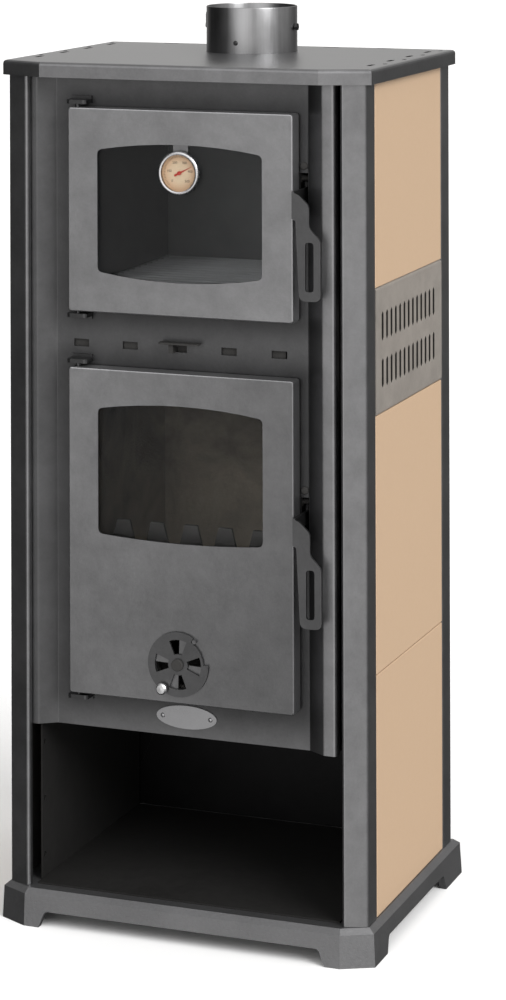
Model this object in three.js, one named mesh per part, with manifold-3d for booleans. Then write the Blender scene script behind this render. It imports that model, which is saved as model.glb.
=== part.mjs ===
// A free-standing wood cookstove: an oven above a fire door, an open log compartment below,
// tiled sides, a folded steel front and a hob plate with a flue collar.
// Units are millimetres, +Z is up, the front faces -Y and the origin is on the floor
// under the middle of the stove.
import * as THREE from "three";
import { mergeVertices } from "three/addons/utils/BufferGeometryUtils.js";
import Module from "manifold-3d";

const wasm = await Module();
wasm.setup();

// ---------------------------------------------------------------- driving dimensions

const SEAT = 0.3; // gap between pieces that rest on each other
const SHEET = 2; // folded sheet of posts, floor, back and grilles

// Heights, each from the piece below it
const PLINTH_HEIGHT = 46;
const PLINTH_CHAMFER = 6;
const LOG_SPACE_HEIGHT = 203; // from the plinth to the panel's lower edge
const FIRE_DOOR_ABOVE_PANEL_BOTTOM = 48;
const FIRE_DOOR_HEIGHT = 410;
const DOOR_SPACING = 70.5;
const OVEN_DOOR_HEIGHT = 256.5;
const HOB_ABOVE_OVEN_DOOR = 57;
const HOB_RIM_HEIGHT = 19;
const COLLAR_HEIGHT = 60;
const TOP_TILE_HEIGHT = 266.7;
const GRILLE_HEIGHT = 158;
const BOTTOM_TILE_HEIGHT = 297.2;

// Cabinet plan
const CABINET_WIDTH = 480;
const FRONT_Y = -177; // face of the front posts and of the doors
const REAR_Y = 176; // back face of the rear posts
const POST_SIDE_STEP = 12; // where a front post turns from the side to the front
const POST_FACE_WIDTH = 31;
const POST_LIP = 9.5; // lip folded back from a front post's nose
const POST_FLANGE = 34.5; // side flange of a front post
const REAR_FLANGE = 37; // side flange of a rear post
const REAR_FLANGE_WIDTH = 30; // along X
const POST_RETURN = 14; // fold that the tiles stand against
const INNER_FOLD_RADIUS = 1.5;
const FOLD_STEP_DEG = 32; // widest turn of one facet of a fold

// Plinth
const PLINTH_SIDE_STEP = 10; // beyond the posts
const PLINTH_FRONT_STEP = 13;
const PLINTH_BACK_STEP = 14;
const PLINTH_CORNER_X = 39;
const PLINTH_CORNER_Y = 20;
const PLINTH_DRAFT = 2;
const PLINTH_WALL = 9;
const PLINTH_RIM = 1; // flat rim beyond the posts
const FLOOR_LAP_X = 5; // log floor resting on the plinth's ledge
const FLOOR_LAP_Y = 27;
const PLINTH_LEDGE_THICKNESS = 7;
const FOOT_WIDTH = 59;
const FOOT_DEPTH = 69;
const NOTCH_HEIGHT = 20.5;
const NOTCH_SLOPE = 8;
const NOTCH_FILLET = 7;

// Hob plate
const HOB_SIDE_STEP = 7.5; // beyond the posts
const HOB_FRONT_STEP = 13;
const HOB_BACK_STEP = 3.5;
const HOB_CORNER_X = 61;
const HOB_CORNER_Y = 23;
const HOB_ROUND = 4.5;
const HOB_RIM = 3;
const HOB_SHEET = 5;
const LONG_SLOT_LENGTH = 24;
const SHORT_SLOT_LENGTH = 10;
const HOB_SLOT_WIDTH = 6;
const HOB_SLOT_PITCH = 77;
const HOB_SLOT_FIRST = 86; // from the front edge
const HOB_LONG_INSET = 22;
const HOB_SHORT_INSET = 12;
const HOB_SLOTS_PER_SIDE = 4;
const HOB_SLOTS_AT_BACK = 5;

// Flue collar and damper
const COLLAR_FROM_REAR = 102;
const COLLAR_OUTER = 120;
const COLLAR_WALL = 2;
const COLLAR_FLANGE = 10;
const COLLAR_SCREW_HEIGHT = 14;
const DAMPER_HEIGHT = 33; // spindle above the hob
const DAMPER_CLEARANCE = 2.5;
const DAMPER_THICKNESS = 1.6;
const SPINDLE_DIAMETER = 6;
const SPINDLE_HOLE = 7;
const SPINDLE_OVERHANG = 5;
const DAMPER_HANDLE_LENGTH = 22;

// Front panel
const PANEL_SHEET = 3;
const PANEL_STRIP_DEPTH = 12; // face of the strips beside the posts, from the front
const PANEL_RECESS = 14; // the flat behind the strips
const PANEL_FLAT_LEFT = 27; // beside the doors
const PANEL_FLAT_RIGHT = 11.5;
const PANEL_LEFT_SLOPE = 21;
const PANEL_RIGHT_SLOPE = 22;
const PANEL_LEFT_STRIP = 23;
const PANEL_RIGHT_STRIP = 17.5;
const PANEL_RETURN = 12;
const AIR_SLOT_COUNT = 5;
const AIR_SLOT_INSET = 17.15; // middle of an end slot from the door's edge line
const AIR_SLOTS_SHIFT = -10.35; // from the doors' middle
const AIR_SLOT_WIDTH = 20.5;
const AIR_SLOT_HEIGHT = 9.5;
const AIR_SLOT_ABOVE_FIRE_DOOR = 26.8;
const AIR_SLIDE_TRAVEL = 13.5;
const AIR_SLIDE_SHEET = 1.5;
const AIR_SLIDE_HEIGHT = 24;
const AIR_TAB_WIDTH = 53;
const AIR_TAB_DEPTH = 15;
const AIR_TAB_STEM = 6;

// Doors
const DOOR_MARGIN_LEFT = 87; // from the outside of the cabinet
const DOOR_MARGIN_RIGHT = 91.5;
const DOOR_SHEET = 2.5;
const DOOR_BACK_GAP = 3.5;
const DOOR_CORNER = 4;
const HINGE_INSET = 8.5; // hinge line from the door's left edge
const HINGE_DEPTH = 11.2; // behind the door's face
const HINGE_PIN = 6;
const HINGE_PIN_CLEARANCE = 0.5;
const HINGE_PIN_REACH = 8; // into the door, from its edge
const HINGE_LUG_WIDTH = 28;
const HINGE_LUG_THICKNESS = 5;
const HINGE_LUG_GAP = 4;
const HINGE_FOOT_HEIGHT = 9;
const HINGE_FOOT_THICKNESS = 2.5;
const WINDOW_SIDE_MARGIN = 40.25;
const WINDOW_CORNER = 7;
const OVEN_WINDOW_BOTTOM_MARGIN = 51.5; // to the window's corners
const OVEN_WINDOW_TOP_MARGIN = 52;
const OVEN_WINDOW_RISE = 9.5;
const OVEN_WINDOW_SAG = 9.5;
const FIRE_WINDOW_BOTTOM_MARGIN = 203.5;
const FIRE_WINDOW_TOP_MARGIN = 49.5;
const FIRE_WINDOW_RISE = 9;
const FIRE_WINDOW_SAG = 5;
const GLASS_THICKNESS = 4;
const GLASS_MARGIN = 13;
const GLASS_SEAT = 1.4; // between the door's face sheet and the glass
const LINER_SHEET = 2;
const LINER_INSET = 9;
const LINER_WINDOW_MARGIN = 5;
const LINER_DEPTH = 13.8; // back of the inner pan behind the door's face
const SEAL_WIDTH = 10;
const SEAL_INSET = 14; // middle of the rope from the door's edge
const OPENING_INSET = 26; // panel openings from the door's edge

// Latches
const LATCH_ABOVE_OVEN_DOOR_BOTTOM = 143.5;
const LATCH_ABOVE_FIRE_DOOR_BOTTOM = 224.2;
const LATCH_DEPTH = 11.2; // behind the door's face
const LEVER_SHEET = 3.5;
const LEVER_PROUD = 7; // in front of the door
const LEVER_CLEARANCE = 1; // beside the door's right wall
const LEVER_TOP = 19.5; // above the pivot
const LEVER_BOTTOM = 114;
const LEVER_NECK_WIDTH = 22.5;
const LEVER_LOOP_SHIFT = 16; // the loop stands this far to the right of the neck
const LEVER_TAPER = 9.5;
const LEVER_SLOT_WIDTH = 11;
const LEVER_SLOT_BOTTOM = 102.5;
const LEVER_SLOT_TOP = 42;
const LEVER_FOLD_BOTTOM = 14;
const TONGUE_LENGTH = 36; // behind the pivot
const TONGUE_DEPTH = 16;
const TONGUE_HOOK = 7.5;
const TONGUE_HOOK_LENGTH = 6;
const LATCH_BOLT = 8;
const LATCH_BOLT_CLEARANCE = 0.4;
const LATCH_NUT = 12;
const LATCH_SLOT_WIDTH = 10;
const LATCH_SLOT_BOTTOM = 5; // below the pivot
const LATCH_SLOT_TOP = 39;
const KEEPER_PIN = 7;
const KEEPER_PIN_DEPTH = 26.3; // behind the latch's pivot
const KEEPER_PIN_HEIGHT = 31.8; // above the pivot
const KEEPER_SCREW_HEIGHT = 47.6;
const KEEPER_SCREW = 5;
const KEEPER_SCREW_HEAD = 10;

// Thermometer
const THERMO_SHIFT = 1.55; // from the doors' middle
const THERMO_BELOW_WINDOW_TOP = 25.2;
const THERMO_DIAMETER = 55;
const THERMO_PROUD = 7; // in front of the door
const THERMO_WALL = 1.5;
const THERMO_BEZEL = 3.5;
const THERMO_STRAP_WIDTH = 20;
const THERMO_STRAP_SHEET = 0.8;

// Primary-air disc
const DISC_SHIFT = -1.65; // from the doors' middle
const DISC_ABOVE_DOOR_BOTTOM = 49.4;
const DISC_RADIUS = 40.3;
const DISC_THICKNESS = 3;
const DISC_WINDOWS = 4;
const DISC_WINDOW_INNER = 13;
const DISC_WINDOW_OUTER = 31;
const DISC_WINDOW_SPAN_DEG = 44;
const DISC_SHOWN_TURN_DEG = 20; // how far the door's ports are turned from the disc's
const DISC_TURN_DEG = 45;
const DISC_BOLT = 6;
const DISC_BOLT_HEAD = 15;
const DISC_BOLT_HEAD_HEIGHT = 4;
const DISC_KNOB_RADIUS = 36;
const DISC_KNOB_DEG = 237;
const DISC_KNOB_DIAMETER = 14;
const DISC_KNOB_LENGTH = 9.4;
const DISC_STOP_DEG = 54;
const DISC_STOP_RADIUS = 37.6;
const DISC_STOP_DIAMETER = 5;
const DISC_NOTCH_CLEARANCE = 1;

// Badge
const BADGE_SHIFT = -1.35; // from the doors' middle
const BADGE_ABOVE_PANEL_BOTTOM = 24.5;
const BADGE_WIDTH = 81;
const BADGE_HEIGHT = 29;
const BADGE_SHEET = 1.5;
const BADGE_RIVET = 6;
const BADGE_RIVET_SPACING = 64;

// Inner body, firebox and oven
const SHELL_SHEET = 3;
const SHELL_BESIDE_DOOR_LEFT = 13;
const SHELL_INSIDE_DOOR_RIGHT = 2.7;
const SHELL_FROM_REAR = 40.3;
const SHELL_LEDGE = 12;
const SHELF_ABOVE_DOOR_BOTTOM = 23; // top of the shelf that the ash drawer runs on
const GRATE_ABOVE_DOOR_BOTTOM = 98;
const GRATE_THICKNESS = 9;
const GRATE_WIDTH = 210;
const GRATE_DEPTH = 150;
const GRATE_MIDDLE_FROM_PANEL = 127.7;
const GRATE_CORNER = 12;
const GRATE_STEP = 5;
const GRATE_SLOTS = 7;
const GRATE_SLOT_WIDTH = 12;
const BRICK_THICKNESS = 25;
const BRICK_BELOW_DOOR_TOP = 25;
const BRICK_BEVEL = 4;
const BRICK_FROM_PANEL = 19.7;
const BAFFLE_THICKNESS = 14;
const BAFFLE_FROM_PANEL = 62.7;
const GUARD_SHEET = 4;
const GUARD_BESIDE_BRICK = 4;
const GUARD_FROM_PANEL = 11.7;
const GUARD_ABOVE_WINDOW_BOTTOM = 10.5;
const GUARD_TOOTH_HEIGHT = 31;
const GUARD_TEETH = 5;
const GUARD_TOOTH_INSET = 58.75; // middle of an end tooth from the door's edge line
const GUARD_TOOTH_TOP = 17;
const GUARD_TOOTH_ROOT = 33;
const OVEN_WALL = 2.5;
const OVEN_FROM_SHELL_BACK = 45.7;
const OVEN_FLANGE = 8;
const OVEN_LEDGE = 9;
const RACK_ABOVE_OVEN_FLOOR = 11.5;
const RACK_WIRE = 5;
const RACK_WIRES = 12;
const RACK_CLEARANCE = 2;
const DRAWER_SIDE_ROOM = 24.75; // beside the drawer in the door's opening
const DRAWER_FROM_PANEL = 6;
const DRAWER_HEIGHT = 62;
const DRAWER_FROM_SHELL_BACK = 35.7;
const DRAWER_SHEET = 1.5;
const DRAWER_PULL_LENGTH = 52;
const DRAWER_PULL_DIAMETER = 26;

// Log compartment and back
const LOG_WALL_INSET = 35; // from the outside of the cabinet
const LOG_WALL_FROM_REAR = 11;
const CEILING_ABOVE_PANEL_BOTTOM = 1;
const LOG_WALL_HOLE = 7;
const BACK_PANEL_INSET = 13; // from the inside of the posts
const BACK_SLOT_ROWS = 3;
const BACK_SLOT_COLUMNS = 9;
const BACK_SLOT_WIDTH = 8;
const BACK_SLOT_HEIGHT = 60;
const BACK_SLOT_PITCH = 34;
const BACK_SLOT_BELOW_TOP = 225.7; // middle of the top row
const BACK_SLOT_ROW_PITCH = 150;

// Tiles and side grilles
const TILE_THICKNESS = 8;
const TILE_BEVEL = 1;
const TILE_SEAM = 1;
const TILE_INSET = 0.5;
const GRILLE_SLOTS = 13;
const GRILLE_SLOT_PITCH = 17.4;
const GRILLE_SLOTS_SHIFT = -4;
const GRILLE_SLOT_WIDTH = 8;
const GRILLE_SLOT_HEIGHT = 37.5;
const GRILLE_ROW_SPACING = 58;
const GRILLE_FLANGE = 12;

// ---------------------------------------------------------------- derived sizes

const SIDE_X = CABINET_WIDTH / 2;
const PANEL_BOTTOM_Z = PLINTH_HEIGHT + LOG_SPACE_HEIGHT;
const FIRE_DOOR_BOTTOM_Z = PANEL_BOTTOM_Z + FIRE_DOOR_ABOVE_PANEL_BOTTOM;
const FIRE_DOOR_TOP_Z = FIRE_DOOR_BOTTOM_Z + FIRE_DOOR_HEIGHT;
const OVEN_DOOR_BOTTOM_Z = FIRE_DOOR_TOP_Z + DOOR_SPACING;
const OVEN_DOOR_TOP_Z = OVEN_DOOR_BOTTOM_Z + OVEN_DOOR_HEIGHT;
const HOB_Z = OVEN_DOOR_TOP_Z + HOB_ABOVE_OVEN_DOOR;
const RIM_BOTTOM_Z = HOB_Z - HOB_RIM_HEIGHT;
const HOB_UNDERSIDE_Z = HOB_Z - HOB_SHEET;
const CABINET_TOP_Z = HOB_UNDERSIDE_Z - SEAT;
const CABINET_BOTTOM_Z = PLINTH_HEIGHT + SEAT;
const TILE_SEAM_Z = CABINET_BOTTOM_Z + BOTTOM_TILE_HEIGHT;
const GRILLE_TOP_Z = CABINET_TOP_Z - TOP_TILE_HEIGHT;
const GRILLE_BOTTOM_Z = GRILLE_TOP_Z - GRILLE_HEIGHT;
const DOOR_LEFT_X = DOOR_MARGIN_LEFT - SIDE_X;
const DOOR_RIGHT_X = SIDE_X - DOOR_MARGIN_RIGHT;
const DOOR_WIDTH = DOOR_RIGHT_X - DOOR_LEFT_X;
const DOOR_MIDDLE_X = (DOOR_LEFT_X + DOOR_RIGHT_X) / 2;
const DOOR_FACE_Y = FRONT_Y;
const PANEL_STRIP_Y = FRONT_Y + PANEL_STRIP_DEPTH;
const PANEL_FLAT_Y = PANEL_STRIP_Y + PANEL_RECESS;
const PANEL_BACK_Y = PANEL_FLAT_Y + PANEL_SHEET;
const DOOR_BACK_Y = PANEL_FLAT_Y - DOOR_BACK_GAP;
const DOOR_SHEET_BACK_Y = DOOR_FACE_Y + DOOR_SHEET;
const BODY_FRONT_Y = PANEL_BACK_Y + SEAT;
const HINGE_X = DOOR_LEFT_X + HINGE_INSET;
const HINGE_Y = DOOR_FACE_Y + HINGE_DEPTH;
const LEVER_X = DOOR_RIGHT_X + LEVER_CLEARANCE;
const LEVER_FACE_Y = DOOR_FACE_Y - LEVER_PROUD;
const LATCH_Y = DOOR_FACE_Y + LATCH_DEPTH;
const KEEPER_PIN_Y = LATCH_Y + KEEPER_PIN_DEPTH;
const GLASS_FRONT_Y = DOOR_SHEET_BACK_Y + GLASS_SEAT;
const GLASS_BACK_Y = GLASS_FRONT_Y + GLASS_THICKNESS;
const LINER_BACK_Y = DOOR_FACE_Y + LINER_DEPTH;
const LINER_FRONT_Y = LINER_BACK_Y - LINER_SHEET;
const LOG_FLOOR_Z = CABINET_BOTTOM_Z + SHEET;
const LOG_WALL_X = SIDE_X - LOG_WALL_INSET;
const LOG_WALL_BACK_Y = REAR_Y - LOG_WALL_FROM_REAR;
const LOG_FLOOR_HALF_X = LOG_WALL_X - SHEET - SEAT;
const CEILING_Z = PANEL_BOTTOM_Z + CEILING_ABOVE_PANEL_BOTTOM;
const BODY_BOTTOM_Z = CEILING_Z + SHEET + SEAT;
const SHELL_TOP_Z = CABINET_TOP_Z - COLLAR_WALL - SEAT;
const SHELL_LEFT_X = DOOR_LEFT_X - SHELL_BESIDE_DOOR_LEFT;
const SHELL_RIGHT_X = DOOR_RIGHT_X - SHELL_INSIDE_DOOR_RIGHT;
const SHELL_BACK_Y = REAR_Y - SHELL_FROM_REAR;
const INNER_LEFT_X = SHELL_LEFT_X + SHELL_SHEET;
const INNER_RIGHT_X = SHELL_RIGHT_X - SHELL_SHEET;
const INNER_BACK_Y = SHELL_BACK_Y - SHELL_SHEET;
const SHELF_Z = FIRE_DOOR_BOTTOM_Z + SHELF_ABOVE_DOOR_BOTTOM;
const GRATE_BOTTOM_Z = FIRE_DOOR_BOTTOM_Z + GRATE_ABOVE_DOOR_BOTTOM;
const GRATE_TOP_Z = GRATE_BOTTOM_Z + GRATE_THICKNESS;
const GRATE_MIDDLE_Y = BODY_FRONT_Y + GRATE_MIDDLE_FROM_PANEL;
const BRICK_BOTTOM_Z = GRATE_TOP_Z + SEAT;
const BRICK_TOP_Z = FIRE_DOOR_TOP_Z - BRICK_BELOW_DOOR_TOP;
const BRICK_FRONT_Y = BODY_FRONT_Y + BRICK_FROM_PANEL;
const OVEN_LATCH_Z = OVEN_DOOR_BOTTOM_Z + LATCH_ABOVE_OVEN_DOOR_BOTTOM;
const FIRE_LATCH_Z = FIRE_DOOR_BOTTOM_Z + LATCH_ABOVE_FIRE_DOOR_BOTTOM;
const AIR_SLOT_Z = FIRE_DOOR_TOP_Z + AIR_SLOT_ABOVE_FIRE_DOOR;
const AIR_SLOT_MIDDLE_X = DOOR_MIDDLE_X + AIR_SLOTS_SHIFT;
const AIR_SLOT_PITCH = (DOOR_WIDTH - 2 * AIR_SLOT_INSET) / (AIR_SLOT_COUNT - 1);
const DISC_X = DOOR_MIDDLE_X + DISC_SHIFT;
const DISC_Z = FIRE_DOOR_BOTTOM_Z + DISC_ABOVE_DOOR_BOTTOM;
const DISC_FRONT_Y = DOOR_FACE_Y - SEAT - DISC_THICKNESS;
const BADGE_X = DOOR_MIDDLE_X + BADGE_SHIFT;
const BADGE_Z = PANEL_BOTTOM_Z + BADGE_ABOVE_PANEL_BOTTOM;
const COLLAR_Y = REAR_Y - COLLAR_FROM_REAR;

// ---------------------------------------------------------------- shapes

const degrees = (angle) => (angle * Math.PI) / 180;

function polygon(points) {
  return new THREE.Shape(points.map(([a, b]) => new THREE.Vector2(a, b)));
}

function rectangle(left, bottom, right, top) {
  return polygon([
    [left, bottom],
    [right, bottom],
    [right, top],
    [left, top],
  ]);
}

// A closed outline whose corners are rounded, each by its own radius.
function roundedPolygon(points, radii, steps = 4) {
  const out = [];
  points.forEach(([x, y], i) => {
    const radius = Array.isArray(radii) ? radii[i] : radii;
    if (!radius) {
      out.push([x, y]);
      return;
    }
    const here = new THREE.Vector2(x, y);
    const before = new THREE.Vector2(...points[(i + points.length - 1) % points.length]).sub(here);
    const after = new THREE.Vector2(...points[(i + 1) % points.length]).sub(here);
    const half = before.angleTo(after) / 2;
    const reach = Math.min(radius / Math.tan(half), before.length() * 0.49, after.length() * 0.49);
    const start = before.normalize().multiplyScalar(reach);
    const end = after.normalize().multiplyScalar(reach);
    for (let k = 0; k <= steps; k++) {
      const t = k / steps;
      const u = 1 - t;
      out.push([x + u * u * start.x + t * t * end.x, y + u * u * start.y + t * t * end.y]);
    }
  });
  return polygon(out);
}

function roundedRectangle(left, bottom, right, top, radius, steps) {
  const corners = [
    [left, bottom],
    [right, bottom],
    [right, top],
    [left, top],
  ];
  return roundedPolygon(corners, radius, steps);
}

function circle(x, y, radius, sides) {
  const points = [];
  for (let i = 0; i < sides; i++) {
    const angle = (2 * Math.PI * i) / sides;
    points.push([x + radius * Math.cos(angle), y + radius * Math.sin(angle)]);
  }
  return polygon(points);
}

// A slot with round ends, lengthened along its first or second coordinate.
function slot(x, y, length, width, alongSecond, steps = 4) {
  const reach = (length - width) / 2;
  const points = [];
  for (const end of [1, -1]) {
    for (let k = 0; k <= steps; k++) {
      const angle = -Math.PI / 2 + (Math.PI * k) / steps;
      const along = end * (reach + (width / 2) * Math.cos(angle));
      const across = end * (width / 2) * Math.sin(angle);
      points.push(alongSecond ? [x - across, y + along] : [x + along, y + across]);
    }
  }
  return polygon(points);
}

// A window with upright sides, an arched top and a sagging bottom.
function barrel(left, right, bottom, top, rise, sag, radius, steps = 8) {
  const points = [];
  const radii = [];
  const bow = (from, to, z, height) => {
    for (let k = 0; k <= steps; k++) {
      const t = k / steps;
      points.push([from + (to - from) * t, z + height * 4 * t * (1 - t)]);
      radii.push(k === 0 || k === steps ? radius : 0);
    }
  };
  bow(left, right, bottom, -sag);
  bow(right, left, top, rise);
  return roundedPolygon(points, radii, 3);
}

// Rounds the corners of a folded sheet's line; the sheet lies to the left of the line.
function bent(line, thickness) {
  const out = [line[0]];
  for (let i = 1; i + 1 < line.length; i++) {
    const here = new THREE.Vector2(...line[i]);
    const arriving = here.clone().sub(new THREE.Vector2(...line[i - 1])).normalize();
    const leaving = new THREE.Vector2(...line[i + 1]).sub(here).normalize();
    const turn = Math.atan2(arriving.cross(leaving), arriving.dot(leaving));
    const radius = INNER_FOLD_RADIUS + (turn > 0 ? thickness : 0);
    const reach = radius * Math.tan(Math.abs(turn) / 2);
    const steps = Math.ceil(Math.abs(turn) / degrees(FOLD_STEP_DEG));
    const towards = new THREE.Vector2(-arriving.y, arriving.x).multiplyScalar(Math.sign(turn));
    const middle = here.clone().addScaledVector(arriving, -reach).addScaledVector(towards, radius);
    for (let k = 0; k <= steps; k++) {
      const spoke = towards.clone().negate().rotateAround(new THREE.Vector2(), (turn * k) / steps);
      out.push([middle.x + spoke.x * radius, middle.y + spoke.y * radius]);
    }
  }
  return [...out, line[line.length - 1]];
}

// The closed outline of a folded strip: the given line is its outer face,
// and the sheet's thickness lies to the left of it.
function strip(line, thickness) {
  const inner = line.map((point, i) => {
    const here = new THREE.Vector2(...point);
    const sides = [];
    if (i > 0) sides.push(here.clone().sub(new THREE.Vector2(...line[i - 1])).normalize());
    if (i < line.length - 1) sides.push(new THREE.Vector2(...line[i + 1]).sub(here).normalize());
    const normals = sides.map((side) => new THREE.Vector2(-side.y, side.x));
    const middle = normals[0].clone().add(normals[normals.length - 1]).normalize();
    const offset = middle.multiplyScalar(thickness / middle.dot(normals[0]));
    return [here.x + offset.x, here.y + offset.y];
  });
  return polygon([...line, ...inner.reverse()]);
}

const flipped = (points) => points.map(([x, y]) => [-x, y]);

// ---------------------------------------------------------------- solids

// Each of these stretches a flat shape along one axis, between two coordinates.
// The shape's own coordinates are (x, y) along Z, (x, z) along Y and (y, z) along X.
function alongZ(shape, low, high) {
  const geometry = new THREE.ExtrudeGeometry(shape, { depth: high - low, bevelEnabled: false });
  return geometry.translate(0, 0, low);
}

function alongY(shape, front, back) {
  const geometry = new THREE.ExtrudeGeometry(shape, { depth: back - front, bevelEnabled: false });
  return geometry.rotateX(Math.PI / 2).translate(0, back, 0);
}

function alongX(shape, left, right) {
  const geometry = new THREE.ExtrudeGeometry(shape, { depth: right - left, bevelEnabled: false });
  const turn = new THREE.Matrix4().makeBasis(
    new THREE.Vector3(0, 1, 0),
    new THREE.Vector3(0, 0, 1),
    new THREE.Vector3(1, 0, 0),
  );
  return geometry.applyMatrix4(turn).translate(left, 0, 0);
}

function box(x0, x1, y0, y1, z0, z1) {
  return alongZ(rectangle(x0, y0, x1, y1), z0, z1);
}

// A body of revolution about a line along Y through (x, z); the profile is [radius, y].
function revolvedY(profile, x, z, sides) {
  const points = profile.map(([radius, y]) => new THREE.Vector2(radius, y));
  if (THREE.ShapeUtils.area(points) < 0) points.reverse();
  return new THREE.LatheGeometry(points, sides).translate(x, 0, z);
}

// Joins rings of equally many points into a closed skin, from the lowest ring to the highest.
function loft(rings) {
  const count = rings[0].points.length;
  const positions = [];
  rings.forEach(({ points, z }) => points.forEach(([x, y]) => positions.push(x, y, z)));
  const index = [];
  for (let r = 0; r + 1 < rings.length; r++) {
    for (let i = 0; i < count; i++) {
      const a = r * count + i;
      const b = r * count + ((i + 1) % count);
      index.push(a, b, b + count, a, b + count, a + count);
    }
  }
  const outline = rings[0].points.map(([x, y]) => new THREE.Vector2(x, y));
  const top = (rings.length - 1) * count;
  for (const [a, b, c] of THREE.ShapeUtils.triangulateShape(outline, [])) {
    index.push(a, c, b);
    index.push(top + a, top + b, top + c);
  }
  const geometry = new THREE.BufferGeometry();
  geometry.setAttribute("position", new THREE.Float32BufferAttribute(positions, 3));
  geometry.setIndex(index);
  return geometry;
}

// Moves every side of a convex outline inwards by the same distance.
function inset(points, distance) {
  return points.map(([x, y], i) => {
    const here = new THREE.Vector2(x, y);
    const before = new THREE.Vector2(...points[(i + points.length - 1) % points.length]);
    const after = new THREE.Vector2(...points[(i + 1) % points.length]);
    const arriving = here.clone().sub(before).normalize();
    const leaving = after.sub(here).normalize();
    const first = new THREE.Vector2(-arriving.y, arriving.x);
    const middle = new THREE.Vector2(-leaving.y, leaving.x).add(first).normalize();
    const reach = distance / middle.dot(first);
    return [x + middle.x * reach, y + middle.y * reach];
  });
}

function solid(geometry) {
  const bare = geometry.clone();
  bare.deleteAttribute("normal");
  bare.deleteAttribute("uv");
  const merged = mergeVertices(bare, 1e-4);
  return new wasm.Manifold(
    new wasm.Mesh({
      numProp: 3,
      vertProperties: new Float32Array(merged.attributes.position.array),
      triVerts: new Uint32Array(merged.index.array),
    }),
  );
}

function geometryOf(body) {
  const mesh = body.getMesh();
  const geometry = new THREE.BufferGeometry();
  const position = new Float32Array(mesh.numVert * 3);
  for (let i = 0; i < mesh.numVert; i++) {
    const from = i * mesh.numProp;
    position.set(mesh.vertProperties.subarray(from, from + 3), i * 3);
  }
  geometry.setAttribute("position", new THREE.BufferAttribute(position, 3));
  geometry.setIndex(new THREE.BufferAttribute(new Uint32Array(mesh.triVerts), 1));
  const flat = geometry.toNonIndexed();
  flat.computeVertexNormals();
  return flat;
}

function joined(first, ...others) {
  let body = solid(first);
  for (const other of others) body = body.add(solid(other));
  return geometryOf(body);
}

function cut(base, ...tools) {
  let body = solid(base);
  for (const tool of tools) body = body.subtract(solid(tool));
  return geometryOf(body);
}

// A sheet folded along a line of corners, with rounded bends.
function folded(along, line, thickness, low, high) {
  return along(strip(bent(line, thickness), thickness), low, high);
}

// A flat shape stretched by one of the functions above and pierced by other shapes.
function pierced(along, shape, holes, low, high) {
  return cut(along(shape, low, high), ...holes.map((hole) => along(hole, low - 1, high + 1)));
}

// ---------------------------------------------------------------- materials

function finish(color, roughness, metalness) {
  return new THREE.MeshStandardMaterial({ color, roughness, metalness });
}

const PAINTED_STEEL = finish(0x55575a, 0.5, 0.4);
const CAST_IRON = finish(0x484a4d, 0.6, 0.4);
const DARK_STEEL = finish(0x232425, 0.7, 0.4);
const GRILLE_STEEL = finish(0x8c837b, 0.55, 0.3);
const BRIGHT_STEEL = finish(0xb9bbbd, 0.3, 0.9);
const COLLAR_STEEL = finish(0x6f7173, 0.35, 0.8);
const BEIGE_TILE = finish(0xcfb08c, 0.45, 0);
const FIREBRICK = finish(0xb3a48c, 0.9, 0);
const ROPE = finish(0x3a3836, 0.95, 0);
const DIAL_CREAM = finish(0xe6c9a4, 0.6, 0);
const NEEDLE_RED = finish(0xc02a1c, 0.5, 0);
const GLASS = new THREE.MeshStandardMaterial({
  color: 0x30363a,
  roughness: 0.08,
  metalness: 0,
  transparent: true,
  opacity: 0.35,
});

const stove = new THREE.Group();
stove.name = "wood_cookstove";

function add(name, geometry, material) {
  const mesh = new THREE.Mesh(geometry, material);
  mesh.name = name;
  stove.add(mesh);
}

// ---------------------------------------------------------------- plinth and hob plate

// An outline with the two front corners cut, counter-clockwise from the front left.
function cutCornerOutline(halfWidth, front, back, cornerX, cornerY) {
  const right = [
    [halfWidth - cornerX, front],
    [halfWidth, front + cornerY],
    [halfWidth, back],
  ];
  return [...right, ...flipped(right).reverse()];
}

// The gap under one side of the plinth between two feet, as a section of that side.
function notch(half) {
  const corners = [
    [-half, -1],
    [half, -1],
    [half, 0],
    [half - NOTCH_SLOPE, NOTCH_HEIGHT],
    [-half + NOTCH_SLOPE, NOTCH_HEIGHT],
    [-half, 0],
  ];
  return roundedPolygon(corners, [0, 0, 0, NOTCH_FILLET, NOTCH_FILLET, 0], 4);
}

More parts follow.
